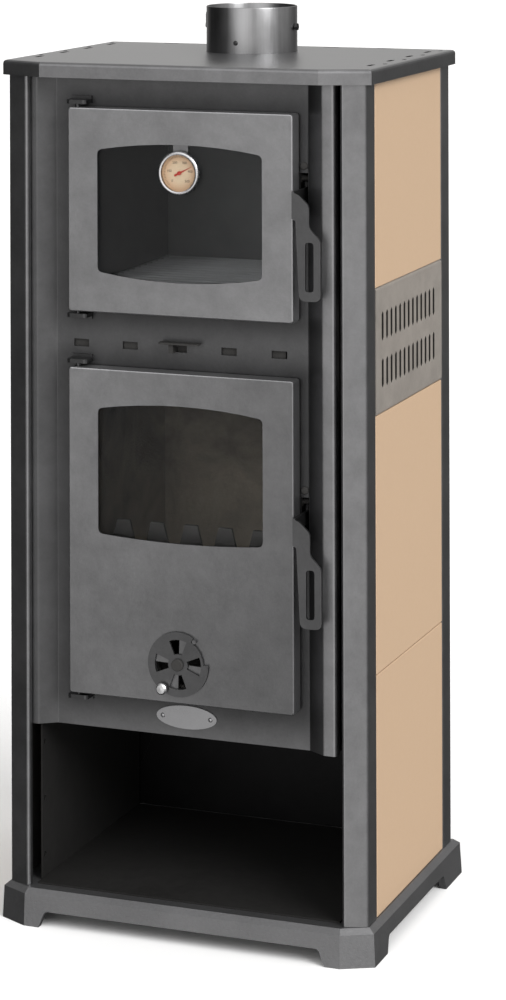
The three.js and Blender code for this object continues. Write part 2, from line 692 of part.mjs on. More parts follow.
function plinth() {
  const halfWidth = SIDE_X + PLINTH_SIDE_STEP;
  const front = FRONT_Y - PLINTH_FRONT_STEP;
  const back = REAR_Y + PLINTH_BACK_STEP;
  const foot = cutCornerOutline(halfWidth, front, back, PLINTH_CORNER_X, PLINTH_CORNER_Y);
  const ledgeZ = PLINTH_HEIGHT - PLINTH_LEDGE_THICKNESS;
  const outside = loft([
    { points: foot, z: 0 },
    { points: inset(foot, PLINTH_DRAFT), z: PLINTH_HEIGHT - PLINTH_CHAMFER },
    { points: inset(foot, PLINTH_SIDE_STEP - PLINTH_RIM), z: PLINTH_HEIGHT },
  ]);
  const hollow = loft([
    { points: inset(foot, PLINTH_WALL), z: -1 },
    { points: inset(foot, PLINTH_WALL + PLINTH_DRAFT), z: ledgeZ },
  ]);
  const opening = box(
    FLOOR_LAP_X - LOG_FLOOR_HALF_X,
    LOG_FLOOR_HALF_X - FLOOR_LAP_X,
    PANEL_STRIP_Y + FLOOR_LAP_Y,
    LOG_WALL_BACK_Y - FLOOR_LAP_Y,
    ledgeZ - 1,
    PLINTH_HEIGHT + 1,
  );
  const acrossFront = alongY(notch(halfWidth - FOOT_WIDTH), front - 1, back + 1);
  const sideNotch = alongX(notch((back - front) / 2 - FOOT_DEPTH), -halfWidth - 1, halfWidth + 1);
  const acrossSides = sideNotch.translate(0, (front + back) / 2, 0);
  return cut(outside, hollow, opening, acrossFront, acrossSides);
}

const HOB_HALF_X = SIDE_X + HOB_SIDE_STEP;
const HOB_FRONT_Y = FRONT_Y - HOB_FRONT_STEP;
const HOB_BACK_Y = REAR_Y + HOB_BACK_STEP;

function hobSlots() {
  const slots = [];
  for (let i = 0; i < HOB_SLOTS_PER_SIDE; i++) {
    const y = HOB_FRONT_Y + HOB_SLOT_FIRST + i * HOB_SLOT_PITCH;
    for (const side of [-1, 1]) {
      const longX = side * (HOB_HALF_X - HOB_LONG_INSET);
      const shortX = side * (HOB_HALF_X - HOB_SHORT_INSET);
      slots.push(slot(longX, y, LONG_SLOT_LENGTH, HOB_SLOT_WIDTH, true));
      slots.push(slot(shortX, y + HOB_SLOT_PITCH / 3, SHORT_SLOT_LENGTH, HOB_SLOT_WIDTH, true, 3));
    }
  }
  for (let i = 0; i < HOB_SLOTS_AT_BACK; i++) {
    const x = (i - (HOB_SLOTS_AT_BACK - 1) / 2) * HOB_SLOT_PITCH;
    slots.push(slot(x, HOB_BACK_Y - HOB_SHORT_INSET, LONG_SLOT_LENGTH, HOB_SLOT_WIDTH, false));
  }
  return slots;
}

function hobPlate() {
  const rim = cutCornerOutline(HOB_HALF_X, HOB_FRONT_Y, HOB_BACK_Y, HOB_CORNER_X, HOB_CORNER_Y);
  const rounded = (angle) => ({
    points: inset(rim, HOB_ROUND * (1 - Math.cos(degrees(angle)))),
    z: HOB_Z - HOB_ROUND * (1 - Math.sin(degrees(angle))),
  });
  const skin = loft([{ points: rim, z: RIM_BOTTOM_Z }, rounded(0), rounded(30), rounded(60), rounded(90)]);
  const hollow = alongZ(polygon(inset(rim, HOB_RIM)), RIM_BOTTOM_Z - 1, HOB_UNDERSIDE_Z);
  const holes = [circle(0, COLLAR_Y, COLLAR_OUTER / 2 + SEAT, 48), ...hobSlots()];
  const tools = holes.map((hole) => alongZ(hole, HOB_UNDERSIDE_Z - 1, HOB_Z + 1));
  return cut(skin, hollow, ...tools);
}

add("base_plinth", plinth(), CAST_IRON);
add("top_plate", hobPlate(), PAINTED_STEEL);

// ---------------------------------------------------------------- corner posts

const POST_FLANGE_END_Y = FRONT_Y + POST_SIDE_STEP + POST_FLANGE;
const REAR_FLANGE_START_Y = REAR_Y - REAR_FLANGE;

function frontPost(side) {
  const noseX = side * (SIDE_X - POST_FACE_WIDTH);
  const line = [
    [side * (SIDE_X - POST_RETURN), POST_FLANGE_END_Y],
    [side * SIDE_X, POST_FLANGE_END_Y],
    [side * SIDE_X, FRONT_Y + POST_SIDE_STEP],
    [noseX, FRONT_Y],
    [noseX, FRONT_Y + POST_LIP],
  ];
  return folded(alongZ, side < 0 ? line : line.reverse(), SHEET, CABINET_BOTTOM_Z, CABINET_TOP_Z);
}

function rearPost(side) {
  const line = [
    [side * (SIDE_X - POST_RETURN), REAR_FLANGE_START_Y],
    [side * SIDE_X, REAR_FLANGE_START_Y],
    [side * SIDE_X, REAR_Y],
    [side * (SIDE_X - REAR_FLANGE_WIDTH), REAR_Y],
  ];
  return folded(alongZ, side < 0 ? line.reverse() : line, SHEET, CABINET_BOTTOM_Z, CABINET_TOP_Z);
}

for (const [name, side] of [
  ["left", -1],
  ["right", 1],
]) {
  add(`post_front_${name}`, frontPost(side), PAINTED_STEEL);
  add(`post_rear_${name}`, rearPost(side), PAINTED_STEEL);
}

// ---------------------------------------------------------------- side tiles and grilles

const TILE_FRONT_Y = POST_FLANGE_END_Y + SEAT;
const TILE_BACK_Y = REAR_FLANGE_START_Y - SEAT;

// A flat tile with bevelled outer edges.
function tile(side, low, high) {
  const geometry = new THREE.ExtrudeGeometry(
    rectangle(TILE_FRONT_Y + TILE_BEVEL, low + TILE_BEVEL, TILE_BACK_Y - TILE_BEVEL, high - TILE_BEVEL),
    {
      depth: TILE_THICKNESS - TILE_BEVEL,
      bevelEnabled: true,
      bevelThickness: TILE_BEVEL,
      bevelSize: TILE_BEVEL,
      bevelSegments: 1,
    },
  );
  const turn = new THREE.Matrix4().makeBasis(
    new THREE.Vector3(0, side, 0),
    new THREE.Vector3(0, 0, 1),
    new THREE.Vector3(side, 0, 0),
  );
  const middle = TILE_FRONT_Y + TILE_BACK_Y;
  const face = SIDE_X - TILE_INSET - TILE_THICKNESS;
  return geometry.applyMatrix4(turn).translate(side * face, side < 0 ? middle : 0, 0);
}

function sideGrille(side) {
  const low = GRILLE_BOTTOM_Z + SEAT;
  const high = GRILLE_TOP_Z - SEAT;
  const line = [
    [side * (SIDE_X - GRILLE_FLANGE), low],
    [side * SIDE_X, low],
    [side * SIDE_X, high],
    [side * (SIDE_X - GRILLE_FLANGE), high],
  ];
  const sheet = folded(alongY, side < 0 ? line.reverse() : line, SHEET, TILE_FRONT_Y, TILE_BACK_Y);
  const tools = [];
  const middleY = (TILE_FRONT_Y + TILE_BACK_Y) / 2 + GRILLE_SLOTS_SHIFT;
  const middleZ = (GRILLE_BOTTOM_Z + GRILLE_TOP_Z) / 2;
  for (const row of [-1, 1]) {
    for (let i = 0; i < GRILLE_SLOTS; i++) {
      const y = middleY + (i - (GRILLE_SLOTS - 1) / 2) * GRILLE_SLOT_PITCH;
      const z = middleZ + (row * GRILLE_ROW_SPACING) / 2;
      const opening = slot(y, z, GRILLE_SLOT_HEIGHT, GRILLE_SLOT_WIDTH, true, 2);
      const inner = side * (SIDE_X - SHEET - 1);
      const outer = side * (SIDE_X + 1);
      tools.push(alongX(opening, Math.min(inner, outer), Math.max(inner, outer)));
    }
  }
  return cut(sheet, ...tools);
}

for (const [name, side] of [
  ["left", -1],
  ["right", 1],
]) {
  const halfSeam = TILE_SEAM / 2;
  add(`tile_${name}_bottom`, tile(side, CABINET_BOTTOM_Z, TILE_SEAM_Z - halfSeam), BEIGE_TILE);
  add(`tile_${name}_middle`, tile(side, TILE_SEAM_Z + halfSeam, GRILLE_BOTTOM_Z), BEIGE_TILE);
  add(`grille_${name}`, sideGrille(side), GRILLE_STEEL);
  add(`tile_${name}_top`, tile(side, GRILLE_TOP_Z, CABINET_TOP_Z), BEIGE_TILE);
}

// ---------------------------------------------------------------- front panel

const airSlotX = (i) => AIR_SLOT_MIDDLE_X + (i - (AIR_SLOT_COUNT - 1) / 2) * AIR_SLOT_PITCH;

function doorOpening(bottom, height) {
  return roundedRectangle(
    DOOR_LEFT_X + OPENING_INSET,
    bottom + OPENING_INSET,
    DOOR_RIGHT_X - OPENING_INSET,
    bottom + height - OPENING_INSET,
    6,
    2,
  );
}

function frontPanel() {
  const flatLeft = DOOR_LEFT_X - PANEL_FLAT_LEFT;
  const flatRight = DOOR_RIGHT_X + PANEL_FLAT_RIGHT;
  const leftFold = flatLeft - PANEL_LEFT_SLOPE;
  const rightFold = flatRight + PANEL_RIGHT_SLOPE;
  const right = rightFold + PANEL_RIGHT_STRIP;
  const line = [
    [leftFold - PANEL_LEFT_STRIP, PANEL_STRIP_Y],
    [leftFold, PANEL_STRIP_Y],
    [flatLeft, PANEL_FLAT_Y],
    [flatRight, PANEL_FLAT_Y],
    [rightFold, PANEL_STRIP_Y],
    [right, PANEL_STRIP_Y],
    [right, PANEL_STRIP_Y + PANEL_RETURN],
  ];
  const sheet = folded(alongZ, line, PANEL_SHEET, PANEL_BOTTOM_Z, CABINET_TOP_Z);
  const holes = [
    doorOpening(OVEN_DOOR_BOTTOM_Z, OVEN_DOOR_HEIGHT),
    doorOpening(FIRE_DOOR_BOTTOM_Z, FIRE_DOOR_HEIGHT),
  ];
  for (let i = 0; i < AIR_SLOT_COUNT; i++) {
    const x = airSlotX(i);
    const halfWidth = AIR_SLOT_WIDTH / 2;
    const halfHeight = AIR_SLOT_HEIGHT / 2;
    holes.push(rectangle(x - halfWidth, AIR_SLOT_Z - halfHeight, x + halfWidth, AIR_SLOT_Z + halfHeight));
  }
  for (const pivotZ of [OVEN_LATCH_Z, FIRE_LATCH_Z]) {
    const left = LEVER_X - LEVER_CLEARANCE / 2;
    holes.push(
      rectangle(left, pivotZ - LATCH_SLOT_BOTTOM, left + LATCH_SLOT_WIDTH, pivotZ + LATCH_SLOT_TOP),
    );
    const screwX = left + LATCH_SLOT_WIDTH / 2;
    holes.push(circle(screwX, pivotZ + KEEPER_SCREW_HEIGHT, KEEPER_SCREW / 2 + SEAT, 12));
  }
  return cut(sheet, ...holes.map((hole) => alongY(hole, PANEL_STRIP_Y - 1, PANEL_BACK_Y + 1)));
}

// The panel's back carries two rails between which the air slide runs.
function panelWithRails() {
  const half = AIR_SLIDE_HEIGHT / 2 + SEAT;
  const rail = (edge) => {
    const low = edge < 0 ? AIR_SLOT_Z - half - 3 : AIR_SLOT_Z + half;
    return box(INNER_LEFT_X + 1, INNER_RIGHT_X - 1, PANEL_BACK_Y - 1, PANEL_BACK_Y + 3, low, low + 3);
  };
  return joined(frontPanel(), rail(-1), rail(1));
}

function airSlide() {
  const front = BODY_FRONT_Y;
  const back = front + AIR_SLIDE_SHEET;
  const low = AIR_SLOT_Z - AIR_SLIDE_HEIGHT / 2;
  const high = AIR_SLOT_Z + AIR_SLIDE_HEIGHT / 2;
  const ports = [];
  for (let i = 0; i < AIR_SLOT_COUNT; i++) {
    const left = airSlotX(i) - AIR_SLOT_WIDTH / 2 - AIR_SLIDE_TRAVEL;
    const halfHeight = AIR_SLOT_HEIGHT / 2;
    ports.push(
      rectangle(left, AIR_SLOT_Z - halfHeight, left + AIR_SLIDE_TRAVEL - 1, AIR_SLOT_Z + halfHeight),
    );
  }
  const leftEnd = INNER_LEFT_X + 1;
  const rightEnd = INNER_RIGHT_X - 1 - AIR_SLIDE_TRAVEL;
  const hidden = ports.filter((port) => port.getPoints()[0].x > leftEnd + 1);
  const plate = pierced(alongY, rectangle(leftEnd, low, rightEnd, high), hidden, front, back);
  const stemLeft = AIR_SLOT_MIDDLE_X - AIR_SLOT_WIDTH / 2 + SEAT;
  const tabFront = PANEL_FLAT_Y - AIR_TAB_DEPTH;
  const tabZ = AIR_SLOT_Z + AIR_SLOT_HEIGHT / 2;
  const stem = box(
    stemLeft,
    stemLeft + AIR_TAB_STEM,
    tabFront + 3,
    front + 0.5,
    AIR_SLOT_Z - AIR_SLOT_HEIGHT / 2 + SEAT,
    tabZ - SEAT,
  );
  const stemMiddle = stemLeft + AIR_TAB_STEM / 2;
  const tabShape = roundedRectangle(
    stemMiddle - AIR_TAB_WIDTH * 0.3,
    tabFront,
    stemMiddle + AIR_TAB_WIDTH * 0.7,
    PANEL_FLAT_Y - 2,
    2,
    2,
  );
  const riser = box(
    stemLeft,
    stemLeft + AIR_TAB_STEM,
    tabFront + 3,
    PANEL_FLAT_Y - 2,
    AIR_SLOT_Z,
    tabZ + 2.5,
  );
  const tab = alongZ(tabShape, tabZ + 2, tabZ + 4);
  return joined(plate, stem, riser, tab);
}

function badge() {
  const outline = [];
  const steps = 32;
  for (let i = 0; i < steps; i++) {
    const angle = (2 * Math.PI * i) / steps;
    const x = BADGE_X + (BADGE_WIDTH / 2) * Math.cos(angle);
    outline.push([x, BADGE_Z + (BADGE_HEIGHT / 2) * Math.sin(angle)]);
  }
  const back = PANEL_FLAT_Y - SEAT;
  const face = back - BADGE_SHEET;
  const rivet = (side) => {
    const x = BADGE_X + (side * BADGE_RIVET_SPACING) / 2;
    const radius = BADGE_RIVET / 2;
    const profile = [
      [0, face - 1.4],
      [radius * 0.7, face - 1],
      [radius, face],
      [radius, face + 0.5],
      [0, face + 0.5],
    ];
    return revolvedY(profile, x, BADGE_Z, 12);
  };
  return joined(alongY(polygon(outline), face, back), rivet(-1), rivet(1));
}

add("front_panel", panelWithRails(), PAINTED_STEEL);
add("air_slide", airSlide(), GRILLE_STEEL);
add("badge_plate", badge(), BRIGHT_STEEL);

// ---------------------------------------------------------------- hinges and keepers

// A lug on the panel with an upright pin; up is 1 for a pin that points up into the door.
function hingeLug(doorEdgeZ, up) {
  const near = doorEdgeZ - up * HINGE_LUG_GAP;
  const far = near - up * HINGE_LUG_THICKNESS;
  const left = HINGE_X - HINGE_LUG_WIDTH / 2;
  const right = HINGE_X + HINGE_LUG_WIDTH / 2;
  const back = PANEL_FLAT_Y - SEAT;
  const front = HINGE_Y - HINGE_PIN / 2 - 2.5;
  const plate = roundedPolygon(
    [
      [left, back],
      [left, front],
      [right, front],
      [right, back],
    ],
    [0, 5, 5, 0],
    3,
  );
  const foot = near - up * HINGE_FOOT_HEIGHT;
  const tip = doorEdgeZ + up * HINGE_PIN_REACH;
  const pin = circle(HINGE_X, HINGE_Y, HINGE_PIN / 2, 16);
  return joined(
    alongZ(plate, Math.min(near, far), Math.max(near, far)),
    box(left, right, back - HINGE_FOOT_THICKNESS, back, Math.min(near, foot), Math.max(near, foot)),
    alongZ(pin, Math.min(near - up, tip), Math.max(near - up, tip)),
  );
}

function keeper(pivotZ) {
  const left = LEVER_X - LEVER_CLEARANCE / 2 - 3;
  const right = left + LATCH_SLOT_WIDTH + 6;
  const screwX = (left + right) / 2;
  const screwZ = pivotZ + KEEPER_SCREW_HEIGHT;
  const pinZ = pivotZ + KEEPER_PIN_HEIGHT;
  const top = screwZ + 9;
  const foot = pinZ - KEEPER_PIN / 2 - 2;
  const armBack = KEEPER_PIN_Y + KEEPER_PIN / 2 + 2;
  const arm = roundedPolygon(
    [
      [BODY_FRONT_Y, foot],
      [armBack, foot],
      [armBack, top - 8],
      [BODY_FRONT_Y, top],
    ],
    [0, 5, 5, 0],
    3,
  );
  const panHead = [
    [0, PANEL_FLAT_Y - SEAT - 3],
    [KEEPER_SCREW_HEAD / 2 - 1.5, PANEL_FLAT_Y - SEAT - 2.6],
    [KEEPER_SCREW_HEAD / 2, PANEL_FLAT_Y - SEAT - 1],
    [KEEPER_SCREW_HEAD / 2, PANEL_FLAT_Y - SEAT],
    [KEEPER_SCREW / 2, PANEL_FLAT_Y - SEAT],
    [KEEPER_SCREW / 2, BODY_FRONT_Y + 4],
    [0, BODY_FRONT_Y + 4],
  ];
  return joined(
    box(left, right, BODY_FRONT_Y, BODY_FRONT_Y + SHEET, pivotZ + LATCH_SLOT_TOP + 1, top),
    alongX(arm, left, left + SHEET),
    alongX(arm, right - SHEET, right),
    alongX(circle(KEEPER_PIN_Y, pinZ, KEEPER_PIN / 2, 16), left + 0.5, right - 0.5),
    revolvedY(panHead, screwX, screwZ, 12),
  );
}

add("oven_hinge_top", hingeLug(OVEN_DOOR_TOP_Z, -1), PAINTED_STEEL);
add("oven_hinge_bottom", hingeLug(OVEN_DOOR_BOTTOM_Z, 1), PAINTED_STEEL);
add("fire_hinge_top", hingeLug(FIRE_DOOR_TOP_Z, -1), PAINTED_STEEL);
add("fire_hinge_bottom", hingeLug(FIRE_DOOR_BOTTOM_Z, 1), PAINTED_STEEL);
add("oven_keeper", keeper(OVEN_LATCH_Z), DARK_STEEL);
add("fire_keeper", keeper(FIRE_LATCH_Z), DARK_STEEL);

// ---------------------------------------------------------------- doors

const WINDOW_LEFT_X = DOOR_LEFT_X + WINDOW_SIDE_MARGIN;
const WINDOW_RIGHT_X = DOOR_RIGHT_X - WINDOW_SIDE_MARGIN;
const OVEN_WINDOW = {
  bottom: OVEN_DOOR_BOTTOM_Z + OVEN_WINDOW_BOTTOM_MARGIN,
  top: OVEN_DOOR_TOP_Z - OVEN_WINDOW_TOP_MARGIN,
  rise: OVEN_WINDOW_RISE,
  sag: OVEN_WINDOW_SAG,
};
const FIRE_WINDOW = {
  bottom: FIRE_DOOR_BOTTOM_Z + FIRE_WINDOW_BOTTOM_MARGIN,
  top: FIRE_DOOR_TOP_Z - FIRE_WINDOW_TOP_MARGIN,
  rise: FIRE_WINDOW_RISE,
  sag: FIRE_WINDOW_SAG,
};

function windowShape({ bottom, top, rise, sag }) {
  return barrel(WINDOW_LEFT_X, WINDOW_RIGHT_X, bottom, top, rise, sag, WINDOW_CORNER);
}

// A rectangle around a window, a given margin outside its widest points.
function aroundWindow({ bottom, top, rise, sag }, margin, radius = 0) {
  const corners = [
    [WINDOW_LEFT_X - margin, bottom - sag - margin],
    [WINDOW_RIGHT_X + margin, bottom - sag - margin],
    [WINDOW_RIGHT_X + margin, top + rise + margin],
    [WINDOW_LEFT_X - margin, top + rise + margin],
  ];
  return roundedPolygon(corners, radius, 2);
}

// A rectangle a given distance inside a door's edge.
function insideDoor(bottom, height, distance, radius = 0, steps = 3) {
  return roundedRectangle(
    DOOR_LEFT_X + distance,
    bottom + distance,
    DOOR_RIGHT_X - distance,
    bottom + height - distance,
    radius,
    steps,
  );
}

function doorShell(bottom, height, window, pivotZ, ports) {
  const blockAt = (distance, y, radius) => ({ distance, y, radius });
  const rings = [
    blockAt(DOOR_SHEET * 0.6, DOOR_FACE_Y, DOOR_CORNER - 1.5),
    blockAt(DOOR_SHEET * 0.2, DOOR_FACE_Y + DOOR_SHEET * 0.2, DOOR_CORNER - 0.5),
    blockAt(0, DOOR_FACE_Y + DOOR_SHEET * 0.7, DOOR_CORNER),
    blockAt(0, DOOR_BACK_Y, DOOR_CORNER),
  ].map(({ distance, y, radius }) => ({
    points: insideDoor(bottom, height, distance, radius)
      .getPoints()
      .map((point) => [point.x, point.y]),
    z: -y,
  }));
  // The rings are lofted lying down, from the back of the door to its face.
  const block = loft(rings.reverse()).rotateX(Math.PI / 2);
  const hollow = alongY(
    insideDoor(bottom, height, DOOR_SHEET, DOOR_CORNER - 1),
    DOOR_SHEET_BACK_Y,
    DOOR_BACK_Y + 1,
  );
  const pinHole = circle(HINGE_X, HINGE_Y, HINGE_PIN / 2 + HINGE_PIN_CLEARANCE, 16);
  const boltHole = circle(LATCH_Y, pivotZ, LATCH_BOLT / 2 + LATCH_BOLT_CLEARANCE, 16);
  const tools = [
    hollow,
    alongY(windowShape(window), DOOR_FACE_Y - 1, DOOR_SHEET_BACK_Y + 1),
    alongZ(pinHole, bottom - 1, bottom + height + 1),
    alongX(boltHole, DOOR_RIGHT_X - DOOR_SHEET - 1, DOOR_RIGHT_X + 1),
    ...ports.map((port) => alongY(port, DOOR_FACE_Y - 1, DOOR_SHEET_BACK_Y + 1)),
  ];
  return cut(block, ...tools);
}

// The inner pan of a door: it clamps the glass against the face sheet and seats the rope.
function doorLiner(bottom, height, window, ports) {
  const outer = insideDoor(bottom, height, LINER_INSET, 3, 2);
  const inner = aroundWindow(window, LINER_WINDOW_MARGIN, 6);
  const plate = pierced(alongY, outer, [inner], LINER_FRONT_Y, LINER_BACK_Y);
  const edgeHole = insideDoor(bottom, height, LINER_INSET + LINER_SHEET, 3, 2);
  const edge = pierced(alongY, outer, [edgeHole], DOOR_SHEET_BACK_Y + SEAT, LINER_BACK_Y);
  const collarShape = aroundWindow(window, LINER_WINDOW_MARGIN + LINER_SHEET, 6);
  const collar = pierced(alongY, collarShape, [inner], GLASS_BACK_Y + SEAT, LINER_BACK_Y);
  const body = joined(plate, edge, collar);
  return ports.length ? cut(body, ...ports) : body;
}

function ropeSeal(bottom, height) {
  const half = SEAL_WIDTH / 2;
  const front = LINER_BACK_Y + SEAT;
  const back = PANEL_FLAT_Y - SEAT;
  const bulge = 2;
  const ring = (out, y) => ({
    outer: insideDoor(bottom, height, SEAL_INSET - out, 8, 3),
    inner: insideDoor(bottom, height, SEAL_INSET + out, 5, 3),
    y,
  });
  const layers = [
    ring(half - bulge, front),
    ring(half, front + 3),
    ring(half, back - 3),
    ring(half - bulge, back),
  ];
  const skin = (key) =>
    loft(
      layers
        .map((layer) => ({
          points: layer[key].getPoints().map((point) => [point.x, point.y]),
          z: -layer.y,
        }))
        .reverse(),
    ).rotateX(Math.PI / 2);
  return cut(skin("outer"), skin("inner"));
}

// A sector of a ring, as the ports of the air disc and of the door behind it.
function ringSector(inner, outer, middleDeg, spanDeg, steps = 5) {
  const points = [];
  for (let k = 0; k <= steps; k++) {
    const angle = degrees(middleDeg - spanDeg / 2 + (spanDeg * k) / steps);
    points.push([DISC_X + outer * Math.cos(angle), DISC_Z + outer * Math.sin(angle)]);
  }
  for (let k = steps; k >= 0; k--) {
    const angle = degrees(middleDeg - spanDeg / 2 + (spanDeg * k) / steps);
    points.push([DISC_X + inner * Math.cos(angle), DISC_Z + inner * Math.sin(angle)]);
  }
  return roundedPolygon(points, 0);
}

function discPorts(turnDeg) {
  const ports = [];
  for (let i = 0; i < DISC_WINDOWS; i++) {
    const middle = (360 / DISC_WINDOWS) * i + turnDeg;
    ports.push(ringSector(DISC_WINDOW_INNER, DISC_WINDOW_OUTER, middle, DISC_WINDOW_SPAN_DEG));
  }
  return ports;
}

const onDisc = (radius, angle) => [
  DISC_X + radius * Math.cos(degrees(angle)),
  DISC_Z + radius * Math.sin(degrees(angle)),
];

// The disc turns between the two ends of a notch in its rim, which runs round a stop on the door.
function airDisc() {
  const notchInner = DISC_STOP_RADIUS - DISC_STOP_DIAMETER / 2 - DISC_NOTCH_CLEARANCE;
  const reach = DISC_STOP_DIAMETER / 2 + DISC_NOTCH_CLEARANCE;
  const margin = reach / DISC_STOP_RADIUS / degrees(1);
  const notchFrom = DISC_STOP_DEG - DISC_TURN_DEG - margin;
  const notchTo = DISC_STOP_DEG + margin;
  const rimNotch = ringSector(notchInner, DISC_RADIUS + 2, (notchFrom + notchTo) / 2, notchTo - notchFrom, 8);
  const blank = circle(DISC_X, DISC_Z, DISC_RADIUS, 60);
  const boltHole = circle(DISC_X, DISC_Z, DISC_BOLT / 2 + SEAT, 12);
  const holes = [boltHole, rimNotch, ...discPorts(0)];
  const back = DOOR_FACE_Y - SEAT;
  const tools = holes.map((hole) => alongY(hole, DISC_FRONT_Y - 1, back + 1));
  return cut(alongY(blank, DISC_FRONT_Y, back), ...tools);
}

function discKnob() {
  const [x, z] = onDisc(DISC_KNOB_RADIUS, DISC_KNOB_DEG);
  const radius = DISC_KNOB_DIAMETER / 2;
  const back = DISC_FRONT_Y - SEAT;
  const front = back - DISC_KNOB_LENGTH;
  const profile = [
    [0, front],
    [radius * 0.75, front + 0.4],
    [radius, front + 2],
    [radius, back - 3.5],
    [radius * 0.55, back - 2],
    [radius * 0.55, back],
    [0, back],
  ];
  return revolvedY(profile, x, z, 24);
}

function discBolt() {
  const back = DOOR_SHEET_BACK_Y + 3;
  const head = DISC_FRONT_Y - SEAT;
  const radius = DISC_BOLT_HEAD / 2;
  const profile = [
    [0, head - DISC_BOLT_HEAD_HEIGHT],
    [radius - 1, head - DISC_BOLT_HEAD_HEIGHT],
    [radius, head - DISC_BOLT_HEAD_HEIGHT + 1],
    [radius, head],
    [DISC_BOLT / 2, head],
    [DISC_BOLT / 2, back],
    [0, back],
  ];
  return revolvedY(profile, DISC_X, DISC_Z, 24);
}

function glass(window) {
  return alongY(aroundWindow(window, GLASS_MARGIN, 6), GLASS_FRONT_Y, GLASS_BACK_Y);
}

// A folded lever: a flat handle with a finger slot, and a flange that is folded back along the
// door's wall, carries the pivot bolt and ends in the tongue behind the panel.
function latchLever(pivotZ) {
  const left = LEVER_X;
  const neckRight = left + LEVER_NECK_WIDTH;
  const loopRight = neckRight + LEVER_LOOP_SHIFT;
  const at = (dx, dz) => [left + dx, pivotZ + dz];
  const outline = [
    at(0, LEVER_TOP),
    at(0, -LEVER_FOLD_BOTTOM),
    at(5, -LEVER_FOLD_BOTTOM - 2),
    at(LEVER_TAPER, -LEVER_BOTTOM),
    [loopRight - 1, pivotZ - LEVER_BOTTOM],
    [loopRight - 1.5, pivotZ - 40],
    [neckRight, pivotZ - 24],
    [neckRight, pivotZ + 3],
    at(9, LEVER_TOP - 4),
  ];
  const plate = roundedPolygon(outline, [0, 0, 2, 9, 9, 10, 12, 12, 10], 4);
  const slotRight = loopRight - 10;
  const slotLeft = slotRight - LEVER_SLOT_WIDTH;
  const fingerSlot = roundedRectangle(
    slotLeft,
    pivotZ - LEVER_SLOT_BOTTOM,
    slotRight,
    pivotZ - LEVER_SLOT_TOP,
    4,
    3,
  );
  const tip = LATCH_Y + TONGUE_LENGTH;
  const hookTop = pivotZ + LEVER_TOP + TONGUE_HOOK;
  const tongueFoot = pivotZ + LEVER_TOP - TONGUE_DEPTH;
  const flange = roundedPolygon(
    [
      [LEVER_FACE_Y, pivotZ - LEVER_FOLD_BOTTOM],
      [LATCH_Y + 7, pivotZ - LEVER_FOLD_BOTTOM],
      [LATCH_Y + 12, tongueFoot],
      [tip, tongueFoot],
      [tip, hookTop],
      [tip - TONGUE_HOOK_LENGTH, hookTop],
      [tip - TONGUE_HOOK_LENGTH, pivotZ + LEVER_TOP],
      [LEVER_FACE_Y, pivotZ + LEVER_TOP],
    ],
    [0, 6, 2, 5, 2.5, 1.5, 2, 0],
    3,
  );
  const inside = DOOR_RIGHT_X - DOOR_SHEET;
  return joined(
    pierced(alongY, plate, [fingerSlot], LEVER_FACE_Y, LEVER_FACE_Y + LEVER_SHEET),
    alongX(flange, left, left + LEVER_SHEET),
    alongX(circle(LATCH_Y, pivotZ, LATCH_BOLT / 2, 16), inside - 4.5, left + 1),
    alongX(circle(LATCH_Y, pivotZ, LATCH_NUT / 2, 6), inside - 4.5, inside - SEAT * 2),
    alongX(circle(LATCH_Y, pivotZ, LATCH_NUT / 2, 6), left + LEVER_SHEET - 0.5, left + LEVER_SHEET + 4),
  );
}

// The stop pin that the disc's notch runs round is riveted into the door.
function fireDoorShell() {
  const shell = doorShell(FIRE_DOOR_BOTTOM_Z, FIRE_DOOR_HEIGHT, FIRE_WINDOW, FIRE_LATCH_Z, [
    circle(DISC_X, DISC_Z, DISC_BOLT / 2 + SEAT, 12),
    ...discPorts(DISC_SHOWN_TURN_DEG),
  ]);
  const [x, z] = onDisc(DISC_STOP_RADIUS, DISC_STOP_DEG);
  const pin = alongY(circle(x, z, DISC_STOP_DIAMETER / 2, 12), DISC_FRONT_Y - 1.5, DOOR_FACE_Y + 1);
  return joined(shell, pin);
}

// Behind the disc the liner has one round hole that lets the air through.
function fireDoorLiner() {
  const airHole = alongY(
    circle(DISC_X, DISC_Z, DISC_WINDOW_OUTER + 2, 24),
    DOOR_SHEET_BACK_Y,
    LINER_BACK_Y + 1,
  );
  return doorLiner(FIRE_DOOR_BOTTOM_Z, FIRE_DOOR_HEIGHT, FIRE_WINDOW, [airHole]);
}

add(
  "oven_door_shell",
  doorShell(OVEN_DOOR_BOTTOM_Z, OVEN_DOOR_HEIGHT, OVEN_WINDOW, OVEN_LATCH_Z, []),
  PAINTED_STEEL,
);
add("oven_door_glass", glass(OVEN_WINDOW), GLASS);
add("oven_glass_frame", doorLiner(OVEN_DOOR_BOTTOM_Z, OVEN_DOOR_HEIGHT, OVEN_WINDOW, []), DARK_STEEL);
add("oven_door_seal", ropeSeal(OVEN_DOOR_BOTTOM_Z, OVEN_DOOR_HEIGHT), ROPE);
add("oven_latch_lever", latchLever(OVEN_LATCH_Z), PAINTED_STEEL);
add("fire_door_shell", fireDoorShell(), PAINTED_STEEL);
add("fire_door_glass", glass(FIRE_WINDOW), GLASS);
add("fire_glass_frame", fireDoorLiner(), DARK_STEEL);
add("fire_door_seal", ropeSeal(FIRE_DOOR_BOTTOM_Z, FIRE_DOOR_HEIGHT), ROPE);
add("fire_latch_lever", latchLever(FIRE_LATCH_Z), PAINTED_STEEL);
add("air_disc", airDisc(), PAINTED_STEEL);
add("air_disc_knob", discKnob(), BRIGHT_STEEL);
add("air_disc_bolt", discBolt(), DARK_STEEL);

// ---------------------------------------------------------------- oven thermometer

